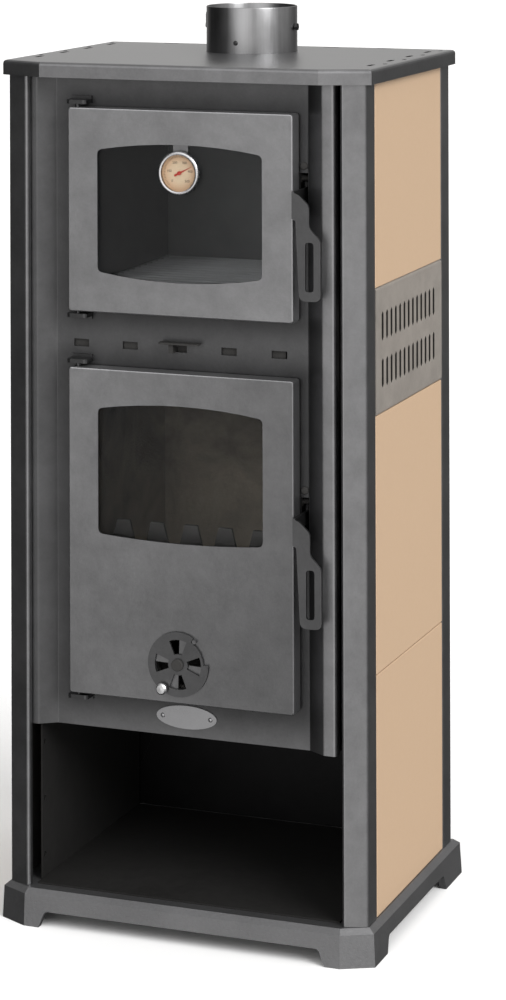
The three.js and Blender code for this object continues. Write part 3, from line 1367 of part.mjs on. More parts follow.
const THERMO_X = DOOR_MIDDLE_X + THERMO_SHIFT;
const THERMO_Z = OVEN_WINDOW.top - THERMO_BELOW_WINDOW_TOP;
const THERMO_FRONT_Y = DOOR_FACE_Y - THERMO_PROUD;
const THERMO_CASE_BACK_Y = DOOR_SHEET_BACK_Y;
const DIAL_BACK_Y = THERMO_CASE_BACK_Y - THERMO_WALL - SEAT;
const DIAL_FRONT_Y = DIAL_BACK_Y - 1;
const NEEDLE_BACK_Y = DIAL_FRONT_Y - SEAT;
const NEEDLE_FRONT_Y = NEEDLE_BACK_Y - 0.8;
const LENS_FRONT_Y = THERMO_FRONT_Y + 1.3;

function thermometerCase() {
  const radius = THERMO_DIAMETER / 2;
  const inner = radius - THERMO_BEZEL;
  const profile = [
    [0, THERMO_CASE_BACK_Y],
    [0, THERMO_CASE_BACK_Y - THERMO_WALL],
    [inner, THERMO_CASE_BACK_Y - THERMO_WALL],
    [inner, THERMO_FRONT_Y + 1.2],
    [inner - 1, THERMO_FRONT_Y + 0.9],
    [inner - 1, THERMO_FRONT_Y + 0.3],
    [inner + 1, THERMO_FRONT_Y],
    [radius - 0.8, THERMO_FRONT_Y + 0.8],
    [radius, THERMO_FRONT_Y + 3],
    [radius, THERMO_FRONT_Y + 5],
    [radius - 2, THERMO_FRONT_Y + 6.5],
    [radius - 3, THERMO_CASE_BACK_Y],
    [0, THERMO_CASE_BACK_Y],
  ];
  return revolvedY(profile, THERMO_X, THERMO_Z, 32);
}

function thermometerDisc(front, back, radius) {
  return alongY(circle(THERMO_X, THERMO_Z, radius, 40), front, back);
}

function thermometerNeedle() {
  const length = THERMO_DIAMETER * 0.36;
  const tail = THERMO_DIAMETER * 0.14;
  const pointer = [
    [length, 0],
    [-tail, 1.4],
    [-tail, -1.4],
  ];
  const geometry = alongY(polygon(pointer), NEEDLE_FRONT_Y, NEEDLE_BACK_Y);
  const hub = alongY(circle(0, 0, 2.4, 12), LENS_FRONT_Y + 2, NEEDLE_BACK_Y);
  const turned = joined(geometry, hub).rotateY(-degrees(27));
  return turned.translate(THERMO_X, 0, THERMO_Z);
}

// The strap hangs from behind the window's upper edge and runs down behind the case.
function thermometerStrap() {
  const top = OVEN_WINDOW.top + OVEN_WINDOW.rise + 10;
  const half = THERMO_STRAP_WIDTH / 2;
  const shape = roundedRectangle(THERMO_X - half, THERMO_Z - half, THERMO_X + half, top, 3, 2);
  const front = DOOR_SHEET_BACK_Y + SEAT;
  return alongY(shape, front, front + THERMO_STRAP_SHEET);
}

add("thermometer_case", thermometerCase(), BRIGHT_STEEL);
add(
  "thermometer_dial",
  thermometerDisc(DIAL_FRONT_Y, DIAL_BACK_Y, THERMO_DIAMETER / 2 - THERMO_BEZEL - SEAT),
  DIAL_CREAM,
);
add("thermometer_needle", thermometerNeedle(), NEEDLE_RED);
add(
  "thermometer_lens",
  thermometerDisc(LENS_FRONT_Y, LENS_FRONT_Y + 1.2, THERMO_DIAMETER / 2 - THERMO_BEZEL - SEAT),
  GLASS,
);
add("thermometer_bracket", thermometerStrap(), DARK_STEEL);

// ---------------------------------------------------------------- log compartment, floor and back

// The walls stand on the plinth's ledge beside the floor and end under the ceiling.
function logWall(side) {
  const low = CABINET_BOTTOM_Z;
  const high = CEILING_Z - SEAT;
  const front = PANEL_FLAT_Y + 1;
  const shape = rectangle(front, low, LOG_WALL_BACK_Y, high);
  const holes = [low + 30, (low + high) / 2, high - 30].map((z) => {
    return circle(front + 8, z, LOG_WALL_HOLE / 2, 8);
  });
  const inner = side * (LOG_WALL_X - SHEET);
  const outer = side * LOG_WALL_X;
  return pierced(alongX, shape, holes, Math.min(inner, outer), Math.max(inner, outer));
}

function backPanel() {
  const holes = [];
  for (let row = 0; row < BACK_SLOT_ROWS; row++) {
    for (let column = 0; column < BACK_SLOT_COLUMNS; column++) {
      const x = (column - (BACK_SLOT_COLUMNS - 1) / 2) * BACK_SLOT_PITCH;
      const z = CABINET_TOP_Z - BACK_SLOT_BELOW_TOP - row * BACK_SLOT_ROW_PITCH;
      holes.push(slot(x, z, BACK_SLOT_HEIGHT, BACK_SLOT_WIDTH, true, 2));
    }
  }
  const half = SIDE_X - SHEET - BACK_PANEL_INSET;
  const back = REAR_Y - SHEET - SEAT;
  const sheet = rectangle(-half, CABINET_BOTTOM_Z, half, CABINET_TOP_Z);
  return pierced(alongY, sheet, holes, back - SHEET, back);
}

add(
  "log_floor",
  box(-LOG_FLOOR_HALF_X, LOG_FLOOR_HALF_X, PANEL_STRIP_Y, LOG_WALL_BACK_Y, CABINET_BOTTOM_Z, LOG_FLOOR_Z),
  DARK_STEEL,
);
const CEILING_HALF_X = LOG_WALL_X + SHEET;
add("log_wall_left", logWall(-1), DARK_STEEL);
add("log_wall_right", logWall(1), DARK_STEEL);
add(
  "log_ceiling",
  box(-CEILING_HALF_X, CEILING_HALF_X, BODY_FRONT_Y, LOG_WALL_BACK_Y, CEILING_Z, CEILING_Z + SHEET),
  DARK_STEEL,
);
add("back_panel", backPanel(), PAINTED_STEEL);

// ---------------------------------------------------------------- inner body and firebox

// Left, back and right walls in one folded sheet, with ledges for the grate frame.
function bodyShell() {
  const line = [
    [SHELL_LEFT_X, BODY_FRONT_Y],
    [SHELL_LEFT_X, SHELL_BACK_Y],
    [SHELL_RIGHT_X, SHELL_BACK_Y],
    [SHELL_RIGHT_X, BODY_FRONT_Y],
  ];
  const walls = alongZ(strip(line.reverse(), SHELL_SHEET), BODY_BOTTOM_Z, SHELL_TOP_Z);
  const high = GRATE_BOTTOM_Z - SEAT;
  const low = high - SHELL_SHEET;
  const ledge = (x0, x1) => box(x0, x1, BODY_FRONT_Y + 1, SHELL_BACK_Y - 1, low, high);
  const leftWall = ledge(SHELL_LEFT_X + 1, INNER_LEFT_X + SHELL_LEDGE);
  const rightWall = ledge(INNER_RIGHT_X - SHELL_LEDGE, SHELL_RIGHT_X - 1);
  const supply = alongY(
    circle((SHELL_LEFT_X + SHELL_RIGHT_X) / 2, BODY_BOTTOM_Z + 40, 20, 24),
    INNER_BACK_Y - 1,
    SHELL_BACK_Y + 1,
  );
  return cut(joined(walls, leftWall, rightWall), supply);
}

// The shelf is an upturned tray that stands on the heat shield.
function bodyShelf() {
  const left = INNER_LEFT_X + SEAT;
  const right = INNER_RIGHT_X - SEAT;
  const line = [
    [left, BODY_BOTTOM_Z],
    [left, SHELF_Z],
    [right, SHELF_Z],
    [right, BODY_BOTTOM_Z],
  ];
  return alongY(strip(line.reverse(), SHELL_SHEET), BODY_FRONT_Y, INNER_BACK_Y - SEAT);
}

function grateFrame() {
  const outer = rectangle(INNER_LEFT_X + SEAT, BODY_FRONT_Y, INNER_RIGHT_X - SEAT, INNER_BACK_Y - SEAT);
  const x = DOOR_MIDDLE_X;
  const halfWidth = GRATE_WIDTH / 2 + SEAT;
  const halfDepth = GRATE_DEPTH / 2 + SEAT;
  const hole = (grow, radius) =>
    roundedRectangle(
      x - halfWidth - grow,
      GRATE_MIDDLE_Y - halfDepth - grow,
      x + halfWidth + grow,
      GRATE_MIDDLE_Y + halfDepth + grow,
      radius,
      4,
    );
  const middleZ = GRATE_BOTTOM_Z + GRATE_THICKNESS / 2;
  return cut(
    alongZ(outer, GRATE_BOTTOM_Z, GRATE_TOP_Z),
    alongZ(hole(-GRATE_STEP, GRATE_CORNER - GRATE_STEP), GRATE_BOTTOM_Z - 1, middleZ + 1),
    alongZ(hole(0, GRATE_CORNER), middleZ, GRATE_TOP_Z + 1),
  );
}

// The grate drops into the frame's step; its slots run from front to back.
function fireGrate() {
  const low = GRATE_BOTTOM_Z + GRATE_THICKNESS / 2 + SEAT;
  const x = DOOR_MIDDLE_X;
  const shape = roundedRectangle(
    x - GRATE_WIDTH / 2,
    GRATE_MIDDLE_Y - GRATE_DEPTH / 2,
    x + GRATE_WIDTH / 2,
    GRATE_MIDDLE_Y + GRATE_DEPTH / 2,
    GRATE_CORNER,
    4,
  );
  const pitch = (GRATE_WIDTH - 2 * GRATE_CORNER) / GRATE_SLOTS;
  const slots = [];
  for (let i = 0; i < GRATE_SLOTS; i++) {
    const slotX = x + (i - (GRATE_SLOTS - 1) / 2) * pitch;
    slots.push(slot(slotX, GRATE_MIDDLE_Y, GRATE_DEPTH - 36, GRATE_SLOT_WIDTH, true, 4));
  }
  return pierced(alongZ, shape, slots, low, GRATE_TOP_Z);
}

// A firebrick with bevelled edges on its hot face.
function brick(x0, x1, y0, y1, hotSide) {
  const b = BRICK_BEVEL;
  const corners = {
    right: [
      [x0, y0],
      [x1 - b, y0],
      [x1, y0 + b],
      [x1, y1 - b],
      [x1 - b, y1],
      [x0, y1],
    ],
    left: [
      [x0 + b, y0],
      [x1, y0],
      [x1, y1],
      [x0 + b, y1],
      [x0, y1 - b],
      [x0, y0 + b],
    ],
    front: [
      [x0 + b, y0],
      [x1 - b, y0],
      [x1, y0 + b],
      [x1, y1],
      [x0, y1],
      [x0, y0 + b],
    ],
  };
  return alongZ(polygon(corners[hotSide]), BRICK_BOTTOM_Z, BRICK_TOP_Z);
}

// The guard's teeth are a repeated trapezoid along its upper edge.
function logGuard() {
  const left = INNER_LEFT_X + BRICK_THICKNESS + GUARD_BESIDE_BRICK;
  const right = INNER_RIGHT_X - BRICK_THICKNESS - GUARD_BESIDE_BRICK;
  const top = FIRE_WINDOW.bottom + GUARD_ABOVE_WINDOW_BOTTOM;
  const valley = top - GUARD_TOOTH_HEIGHT;
  const pitch = (DOOR_WIDTH - 2 * GUARD_TOOTH_INSET) / (GUARD_TEETH - 1);
  const points = [
    [right, valley],
    [right, BRICK_BOTTOM_Z],
    [left, BRICK_BOTTOM_Z],
    [left, valley],
  ];
  for (let i = 0; i < GUARD_TEETH; i++) {
    const x = DOOR_MIDDLE_X + (i - (GUARD_TEETH - 1) / 2) * pitch;
    points.push([x - GUARD_TOOTH_ROOT / 2, valley]);
    points.push([x - GUARD_TOOTH_TOP / 2, top]);
    points.push([x + GUARD_TOOTH_TOP / 2, top]);
    points.push([x + GUARD_TOOTH_ROOT / 2, valley]);
  }
  const back = BODY_FRONT_Y + GUARD_FROM_PANEL;
  return alongY(polygon(points), back - GUARD_SHEET, back);
}

function smokeBaffle() {
  const low = BRICK_TOP_Z + SEAT;
  const left = INNER_LEFT_X + SEAT;
  const right = INNER_RIGHT_X - SEAT;
  const shape = roundedPolygon(
    [
      [left, BODY_FRONT_Y + BAFFLE_FROM_PANEL],
      [right, BODY_FRONT_Y + BAFFLE_FROM_PANEL],
      [right, INNER_BACK_Y - SEAT],
      [left, INNER_BACK_Y - SEAT],
    ],
    [12, 12, 0, 0],
    3,
  );
  return alongZ(shape, low, low + BAFFLE_THICKNESS);
}

// The drawer is a folded tray with a finger hole in its front.
function ashDrawer() {
  const left = DOOR_LEFT_X + OPENING_INSET + DRAWER_SIDE_ROOM;
  const right = DOOR_RIGHT_X - OPENING_INSET - DRAWER_SIDE_ROOM;
  const front = BODY_FRONT_Y + DRAWER_FROM_PANEL;
  const back = SHELL_BACK_Y - DRAWER_FROM_SHELL_BACK;
  const low = SHELF_Z + SEAT;
  const high = low + DRAWER_HEIGHT;
  const s = DRAWER_SHEET;
  const pullZ = high - DRAWER_PULL_DIAMETER;
  const pull = slot(DOOR_MIDDLE_X, pullZ, DRAWER_PULL_LENGTH, DRAWER_PULL_DIAMETER, false, 6);
  return cut(
    box(left, right, front, back, low, high),
    box(left + s, right - s, front + s, back - s, low + s, high + 1),
    alongY(pull, front - 1, front + s + 1),
  );
}

add("body_shell", bodyShell(), DARK_STEEL);
add("body_floor", bodyShelf(), DARK_STEEL);
add("grate_frame", grateFrame(), CAST_IRON);
add("fire_grate", fireGrate(), CAST_IRON);
add(
  "brick_left",
  brick(
    INNER_LEFT_X + SEAT,
    INNER_LEFT_X + SEAT + BRICK_THICKNESS,
    BRICK_FRONT_Y,
    INNER_BACK_Y - BRICK_THICKNESS - 2 * SEAT,
    "right",
  ),
  FIREBRICK,
);
add(
  "brick_right",
  brick(
    INNER_RIGHT_X - SEAT - BRICK_THICKNESS,
    INNER_RIGHT_X - SEAT,
    BRICK_FRONT_Y,
    INNER_BACK_Y - BRICK_THICKNESS - 2 * SEAT,
    "left",
  ),
  FIREBRICK,
);
add(
  "brick_back",
  brick(
    INNER_LEFT_X + SEAT,
    INNER_RIGHT_X - SEAT,
    INNER_BACK_Y - SEAT - BRICK_THICKNESS,
    INNER_BACK_Y - SEAT,
    "front",
  ),
  FIREBRICK,
);
add("log_guard", logGuard(), CAST_IRON);
add("smoke_baffle", smokeBaffle(), FIREBRICK);
add("ash_drawer", ashDrawer(), DARK_STEEL);

// ---------------------------------------------------------------- oven

const OVEN_LEFT_X = DOOR_LEFT_X + OPENING_INSET;
const OVEN_RIGHT_X = DOOR_RIGHT_X - OPENING_INSET;
const OVEN_FLOOR_Z = OVEN_DOOR_BOTTOM_Z + OPENING_INSET;
const OVEN_ROOF_Z = OVEN_DOOR_TOP_Z - OPENING_INSET;
const OVEN_BACK_Y = SHELL_BACK_Y - OVEN_FROM_SHELL_BACK;
const RACK_Z = OVEN_FLOOR_Z + RACK_ABOVE_OVEN_FLOOR;
const LEDGE_TOP_Z = RACK_Z - RACK_WIRE - SEAT;

// An open-fronted box with a flange behind the panel and a ledge on each side for the rack.
function ovenBox() {
  const w = OVEN_WALL;
  const outside = rectangle(OVEN_LEFT_X - w, OVEN_FLOOR_Z - w, OVEN_RIGHT_X + w, OVEN_ROOF_Z + w);
  const inside = rectangle(OVEN_LEFT_X, OVEN_FLOOR_Z, OVEN_RIGHT_X, OVEN_ROOF_Z);
  const f = OVEN_FLANGE;
  const rim = rectangle(OVEN_LEFT_X - f, OVEN_FLOOR_Z - f, OVEN_RIGHT_X + f, OVEN_ROOF_Z + f);
  const ledge = (x0, x1) => box(x0, x1, BODY_FRONT_Y + 8, OVEN_BACK_Y, LEDGE_TOP_Z - w, LEDGE_TOP_Z);
  const hollow = cut(
    joined(alongY(outside, BODY_FRONT_Y, OVEN_BACK_Y + w), alongY(rim, BODY_FRONT_Y, BODY_FRONT_Y + w)),
    alongY(inside, BODY_FRONT_Y - 1, OVEN_BACK_Y),
  );
  return joined(
    hollow,
    ledge(OVEN_LEFT_X - 1, OVEN_LEFT_X + OVEN_LEDGE),
    ledge(OVEN_RIGHT_X - OVEN_LEDGE, OVEN_RIGHT_X + 1),
  );
}

// Cross wires carried by two side rails and a rail at each end.
function ovenRack() {
  const left = OVEN_LEFT_X + RACK_CLEARANCE;
  const right = OVEN_RIGHT_X - RACK_CLEARANCE;
  const front = BODY_FRONT_Y + 14;
  const back = OVEN_BACK_Y - 8;
  const radius = RACK_WIRE / 2;
  const z = RACK_Z - radius;
  const lengthways = (x) => alongY(circle(x, z, radius, 6), front, back);
  const pieces = [lengthways(right - radius)];
  for (let i = 0; i < RACK_WIRES; i++) {
    const y = front + radius + ((back - front - RACK_WIRE) * i) / (RACK_WIRES - 1);
    pieces.push(alongX(circle(y, z, radius, 6), left + radius, right - radius));
  }
  return joined(lengthways(left + radius), ...pieces);
}

add("oven_box", ovenBox(), DARK_STEEL);
add("oven_rack", ovenRack(), BRIGHT_STEEL);

// ---------------------------------------------------------------- flue collar and damper

function flueCollar() {
  const outer = COLLAR_OUTER / 2;
  const inner = outer - COLLAR_WALL;
  const top = HOB_Z + COLLAR_HEIGHT;
  const under = CABINET_TOP_Z - COLLAR_WALL;
  const profile = [
    [inner, under],
    [outer + COLLAR_FLANGE, under],
    [outer + COLLAR_FLANGE, CABINET_TOP_Z],
    [outer, CABINET_TOP_Z],
    [outer, top],
    [inner, top],
    [inner, under],
  ].map(([radius, z]) => new THREE.Vector2(radius, z));
  const tube = new THREE.LatheGeometry(profile, 48).rotateX(Math.PI / 2).translate(0, COLLAR_Y, 0);
  const spindleZ = HOB_Z + DAMPER_HEIGHT;
  const holes = alongX(circle(COLLAR_Y, spindleZ, SPINDLE_HOLE / 2, 12), -outer - 5, outer + 5);
  const screwFace = COLLAR_Y - outer;
  const screw = revolvedY(
    [
      [0, screwFace - 2.2],
      [2.6, screwFace - 1.6],
      [3.2, screwFace],
      [3.2, screwFace + 1.5],
      [0, screwFace + 1.5],
    ],
    0,
    HOB_Z + COLLAR_SCREW_HEIGHT,
    10,
  );
  return joined(cut(tube, holes), screw);
}

// The flap is welded to its spindle; the left end carries the handle and the right end a nut.
function flueDamper() {
  const z = HOB_Z + DAMPER_HEIGHT;
  const radius = COLLAR_OUTER / 2 - COLLAR_WALL - DAMPER_CLEARANCE;
  const outer = COLLAR_OUTER / 2 + SPINDLE_OVERHANG;
  const flap = alongZ(circle(0, COLLAR_Y, radius, 40), z - DAMPER_THICKNESS / 2, z + DAMPER_THICKNESS / 2);
  const spindle = alongX(circle(COLLAR_Y, z, SPINDLE_DIAMETER / 2, 12), -outer, outer);
  const handleX = -COLLAR_OUTER / 2 - 1.5;
  const handle = alongX(
    slot(COLLAR_Y, z + DAMPER_HANDLE_LENGTH / 2 - 4, DAMPER_HANDLE_LENGTH, 8, true, 4),
    handleX - 2.5,
    handleX,
  );
  const nutX = COLLAR_OUTER / 2 + 1.5;
  const nut = alongX(circle(COLLAR_Y, z, 5, 6), nutX, nutX + 3);
  return joined(flap, spindle, handle, nut);
}

add("flue_collar", flueCollar(), COLLAR_STEEL);
add("flue_damper", flueDamper(), BRIGHT_STEEL);

export default stove;
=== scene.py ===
"""A wood cookstove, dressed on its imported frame: finishes, fine pieces, lights and camera."""

import math

import bmesh
import bpy
import numpy
from mathutils import Matrix, Vector


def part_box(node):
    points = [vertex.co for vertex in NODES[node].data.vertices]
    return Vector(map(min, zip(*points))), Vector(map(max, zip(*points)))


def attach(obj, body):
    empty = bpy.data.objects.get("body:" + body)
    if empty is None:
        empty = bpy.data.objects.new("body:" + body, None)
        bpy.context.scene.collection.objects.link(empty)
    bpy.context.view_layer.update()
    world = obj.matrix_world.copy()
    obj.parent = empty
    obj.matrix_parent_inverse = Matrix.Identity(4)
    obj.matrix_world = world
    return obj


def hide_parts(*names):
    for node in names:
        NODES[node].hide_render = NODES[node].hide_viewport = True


bl_info = {
    "name": "Wood cookstove",
    "version": (1, 0, 0),
    "blender": (4, 5, 0),
    "location": "View3D > Sidebar > Stove",
    "description": "Finishes, fine pieces, lights and camera for a wood cookstove",
    "category": "Object",
}

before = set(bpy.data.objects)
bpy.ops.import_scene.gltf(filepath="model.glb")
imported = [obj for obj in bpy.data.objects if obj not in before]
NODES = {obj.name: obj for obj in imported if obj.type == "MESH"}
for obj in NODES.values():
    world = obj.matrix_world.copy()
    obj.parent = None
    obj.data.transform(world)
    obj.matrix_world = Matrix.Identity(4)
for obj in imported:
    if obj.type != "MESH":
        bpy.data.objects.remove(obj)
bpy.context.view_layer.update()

MM = 0.001

# How light each painted piece is, next to the steel paint or to the inner sheet.
DOOR_TONE = 1.2
PANEL_TONE = 0.72
DISC_TONE = 0.5
HOOK_TONE = 0.47
LEVER_TONE = 0.3
# The compartment and hidden-sheet tones are darker copies of the inner sheet: painted shade.
COMPARTMENT_SHADE_TONE = 0.5
INNER_SHADE_TONE = 0.25

# The finish of a node: by its whole name, or else by how its name starts, or else plain steel.
FINISH_BY_NAME = {
    "base_plinth": "casting",
    "log_guard": "iron",
    "grate_frame": "iron",
    "fire_grate": "iron",
    "air_slide": "sooty",
    "smoke_baffle": "clay",
    "flue_damper": "lever",
    "badge_plate": "badge",
    "top_plate": "hob",
    "air_disc_knob": "bright",
    "oven_rack": "wire",
    "oven_box": "enamel",
    "front_panel": "panel",
    "oven_door_shell": "oven door",
    "fire_door_shell": "fire door",
    "air_disc": "disc",
    "back_panel": "rear",
    "body_shell": "hidden",
    "oven_latch_lever": "hook",
    "fire_latch_lever": "hook",
    "air_disc_bolt": "sooty",
}
FINISH_BY_START = {
    "tile_": "tile",
    "grille_": "grille",
    "brick_": "clay",
    "oven_hinge": "lever",
    "fire_hinge": "lever",
    "log_": "compartment",
    "body_": "sooty",
    "ash_": "sooty",
    "oven_keeper": "sooty",
    "fire_keeper": "sooty",
    "oven_glass": "sooty",
    "fire_glass": "sooty",
    "oven_door_glass": "pane",
    "fire_door_glass": "pane",
}

# Edge rounding, as a multiple of the edge radius in the settings.
BOLD_EDGE = 1.5
THIN_EDGE = 0.3
BOLD_PIECES = {"oven_door_shell", "fire_door_shell", "oven_latch_lever", "fire_latch_lever"}
FLAT_LIMIT = math.radians(0.5)
BEVEL_LIMIT = math.radians(25.0)
BEVEL_SEGMENTS = 2

# Sides of the turned pieces.
COLLAR_SIDES = 128
CASE_SIDES = 96
RIVET_SIDES = 24

# The dial: sizes in metres, and places as parts of the dial's radius.
FIGURE_HEIGHT = 4.4 * MM
FIGURE_STEP = 100
FIGURE_REACH = 0.60
MARK_REACH = 0.86
MARK_LENGTH = 2.2 * MM
MARK_WIDTH = 0.42 * MM
PRINT_DEPTH = 0.02 * MM

# The door ropes.
ROPE_WIDTH = 10 * MM
ROPE_CORNER = 9 * MM

# The glows that the steel mirrors: direction, sharpness and strength.
GLOWS = (
    ((0.035, -0.98, -0.14), 8.0, 1.75),  # in front, a little below the horizon
    ((-0.36, 0.90, 0.20), 8.0, 0.8),  # behind
    ((0.30, 0.0, 0.95), 2.0, 1.1),  # overhead
    ((0.93, 0.36, 0.0), 6.0, 0.35),  # at the right
    ((0.78, -0.62, 0.0), 14.0, 1.0),  # in front at the right
)
DIM_LIGHT = 0.015
BACKDROP_LIGHT = 0.97

# The suns: apparent size in degrees, and the direction in which each one stands.
KEY_SUN = (35.0, (0.80, -0.45, 0.62))
FILL_SUN = (60.0, (-0.12, -0.80, 0.55))

# The view of the photo: turn and roll in degrees, lengths in pixels, place in metres.
VIEW_TURN = 20.873
VIEW_ROLL = -0.166
VIEW_FOCAL = 3049.07
VIEW_DROP = 676.2
VIEW_HEIGHT = 1000.0
VIEW_PLACE = (1.43491, -3.68294, 1.39033)
SENSOR_WIDTH = 36.0
FLOOR_REACH = 120.0


# ---------------------------------------------------------------- node helpers


def plugged(tree, value, socket):
    """Feeds a socket with another socket, a wrapped value or a constant."""
    if isinstance(value, Value):
        value = value.socket
    if isinstance(value, bpy.types.NodeSocket):
        tree.links.new(value, socket)
    elif value is not None:
        socket.default_value = value


def placed(tree, kind, settings, inputs):
    """Adds a node, sets its options and feeds its inputs by name or by number."""
    node = tree.nodes.new(kind)
    for key, value in settings.items():
        setattr(node, key, value)
    for key, value in inputs.items():
        plugged(tree, value, node.inputs[key])
    return node


class Value:
    """A number in a node tree that can be used in Python sums."""

    def __init__(self, tree, socket):
        self.tree = tree
        self.socket = socket

    def _sum(self, operation, first, second=None, clamped=False):
        inputs = {0: first} if second is None else {0: first, 1: second}
        settings = {"operation": operation, "use_clamp": clamped}
        node = placed(self.tree, "ShaderNodeMath", settings, inputs)
        return Value(self.tree, node.outputs[0])

    def __add__(self, other):
        return self._sum("ADD", self, other)

    def __radd__(self, other):
        return self._sum("ADD", other, self)

    def __sub__(self, other):
        return self._sum("SUBTRACT", self, other)

    def __rsub__(self, other):
        return self._sum("SUBTRACT", other, self)

    def __mul__(self, other):
        return self._sum("MULTIPLY", self, other)

    def __rmul__(self, other):
        return self._sum("MULTIPLY", other, self)

    def __truediv__(self, other):
        return self._sum("DIVIDE", self, other)

    def __rtruediv__(self, other):
        return self._sum("DIVIDE", other, self)

    def __pow__(self, other):
        return self._sum("POWER", self, other)

    def __abs__(self):
        return self._sum("ABSOLUTE", self)

    def at_least(self, other):
        return self._sum("MAXIMUM", self, other)

    def at_most(self, other):
        return self._sum("MINIMUM", self, other)

    def sine(self):
        return self._sum("SINE", self)

    def clamped(self):
        return self._sum("ADD", self, 0.0, clamped=True)

    def between(self, low, high):
        """0 below low, 1 above high and a smooth rise in between."""
        settings = {"interpolation_type": "SMOOTHSTEP"}
        inputs = {"Value": self, "From Min": low, "From Max": high}
        node = placed(self.tree, "ShaderNodeMapRange", settings, inputs)
        return Value(self.tree, node.outputs[0])


class Finish:
    """Builds one procedural material from patterns in the object's own space."""

    def __init__(self, name):
        self.material = bpy.data.materials.new(name)
        self.material.use_nodes = True
        self.tree = self.material.node_tree
        self.tree.nodes.clear()
        self.place = self.node("ShaderNodeTexCoord").outputs["Object"]

    def node(self, kind, settings=None, inputs=None):
        return placed(self.tree, kind, settings or {}, inputs or {})

    def axes(self):
        split = self.node("ShaderNodeSeparateXYZ", inputs={0: self.place})
        return [Value(self.tree, output) for output in split.outputs]

    def stretched(self, x, y, z):
        """The object's space with each axis multiplied."""
        inputs = {"Vector": self.place, "Scale": (x, y, z)}
        return self.node("ShaderNodeMapping", inputs=inputs).outputs[0]

    def noise(self, scale, detail=3.0, roughness=0.5, vector=None, distortion=0.0):
        inputs = {
            "Vector": vector or self.place,
            "Scale": scale,
            "Detail": detail,
            "Roughness": roughness,
            "Distortion": distortion,
        }
        return Value(self.tree, self.node("ShaderNodeTexNoise", inputs=inputs).outputs["Fac"])

    def cells(self, scale):
        inputs = {"Vector": self.place, "Scale": scale}
        node = self.node("ShaderNodeTexVoronoi", inputs=inputs)
        return Value(self.tree, node.outputs["Distance"])

    def mix(self, factor, low, high):
        """Goes from one colour to another; sockets 6, 7 and 2 are the node's colours."""
        inputs = {"Factor": factor, 6: low, 7: high}
        node = self.node("ShaderNodeMix", {"data_type": "RGBA"}, inputs)
        return node.outputs[2]

    def shade(self, colour, amount):
        """A colour made lighter or darker by a factor around 1."""
        inputs = {"Color": colour, "Value": amount}
        return self.node("ShaderNodeHueSaturation", inputs=inputs).outputs[0]

    def bump(self, height, depth, strength=1.0, normal=None):
        inputs = {"Height": height, "Distance": depth, "Strength": strength}
        if normal is not None:
            inputs["Normal"] = normal
        return self.node("ShaderNodeBump", inputs=inputs).outputs[0]

    def surface(self, shader):
        output = self.node("ShaderNodeOutputMaterial")
        self.tree.links.new(shader, output.inputs["Surface"])
        return self.material

    def principled(self, **inputs):
        named = {key.replace("_", " "): value for key, value in inputs.items()}
        return self.node("ShaderNodeBsdfPrincipled", inputs=named).outputs[0]


def colour(red, green, blue):
    return (red, green, blue, 1.0)


def toned(base, factor):
    """A colour made lighter or darker, and opaque."""
    return tuple(part * factor for part in base[:3]) + (1.0,)


# ---------------------------------------------------------------- finishes


def outside(finish, box):
    """How far a point stands outside a box, seen from the front."""
    x, _, z = finish.axes()
    aside = (box[0][0] - x).at_least(x - box[1][0]).at_least(0.0)
    above = (box[0][2] - z).at_least(z - box[1][2]).at_least(0.0)
    return (aside * aside + above * above) ** 0.5


def recess_shade_mask(finish, box, axis, front=0.0, inset=0.008):
    """A painted-shade mask: 1 on what lies below a sheet's outer face and inside its outline, as
    slot walls do.

    The axis is the one that the sheet lies across. The outline is drawn in by the inset,
    and at the front of the stove by the front as well.
    """
    place = finish.axes()
    depth = max(abs(box[0][axis]), abs(box[1][axis])) - abs(place[axis])
    walls = depth.between(0.0002, 0.0006)
    for i in range(3):
        if i != axis:
            low = box[0][i] + (front if i == 1 else 0.0)
            inwards = (place[i] - low).at_most(box[1][i] - place[i])
            walls = walls * inwards.between(inset, inset + 0.001)
    return walls


def satin_paint(
    name, base, roughness=0.35, metallic=0.93, doors=(), fades=(), sheet=None, recess_shade=None
):
    """Sprayed heat-proof paint: faint clouds, finer mottling and a fine orange peel.

    It takes painted shade close round the doors and changes along an axis over each fade,
    which the callers use for painted light and shade. It has a painted highlight along the
    outline of a sheet, and painted shade on slot walls and on inner faces. A fade is an
    axis, its start, its end and what is gained there.
    """
    finish = Finish(name)
    clouds = finish.noise(7.0, 4.0, 0.6, distortion=0.4)
    mottle = finish.noise(38.0, 5.0, 0.7)
    speck = finish.noise(420.0, 2.0, 0.5)
    amount = 0.40 + clouds * 0.55 + mottle * 0.50 + speck * 0.14
    # Painted shade: the paint darkens within 55 mm round each door, where the door shades the
    # panel.
    for box in doors:
        amount = amount * (outside(finish, box).between(0.0, 0.055) * 0.62 + 0.38)
    # Each fade lightens or darkens the paint along one axis, as painted light and shade.
    for axis, start, end, gain in fades:
        amount = amount * (finish.axes()[axis].between(start, end) * gain + 1.0)
    # Painted highlight: the paint is lighter in a band 0.6 to 2.2 mm inside the sheet's outline.
    if sheet is not None:
        low, high = sheet
        x, _, z = finish.axes()
        rim = (x - low[0]).at_most(high[0] - x).at_most(z - low[2]).at_most(high[2] - z)
        amount = amount * (1.75 - rim.between(0.0006, 0.0022) * 0.75)
    # Painted shade: the paint is almost black on slot walls and inner faces.
    if recess_shade is not None:
        amount = amount * (1.0 - recess_shade_mask(finish, *recess_shade) * 0.94)
    rough = roughness - 0.09 + clouds * 0.10 + mottle * 0.08
    peel = finish.noise(900.0, 2.0, 0.6) + finish.noise(160.0, 2.0, 0.5) * 1.5
    shader = finish.principled(
        Base_Color=finish.shade(base, amount),
        Roughness=rough,
        Metallic=metallic,
        Normal=finish.bump(peel, 0.00012, 0.55),
    )
    return finish.surface(shader)


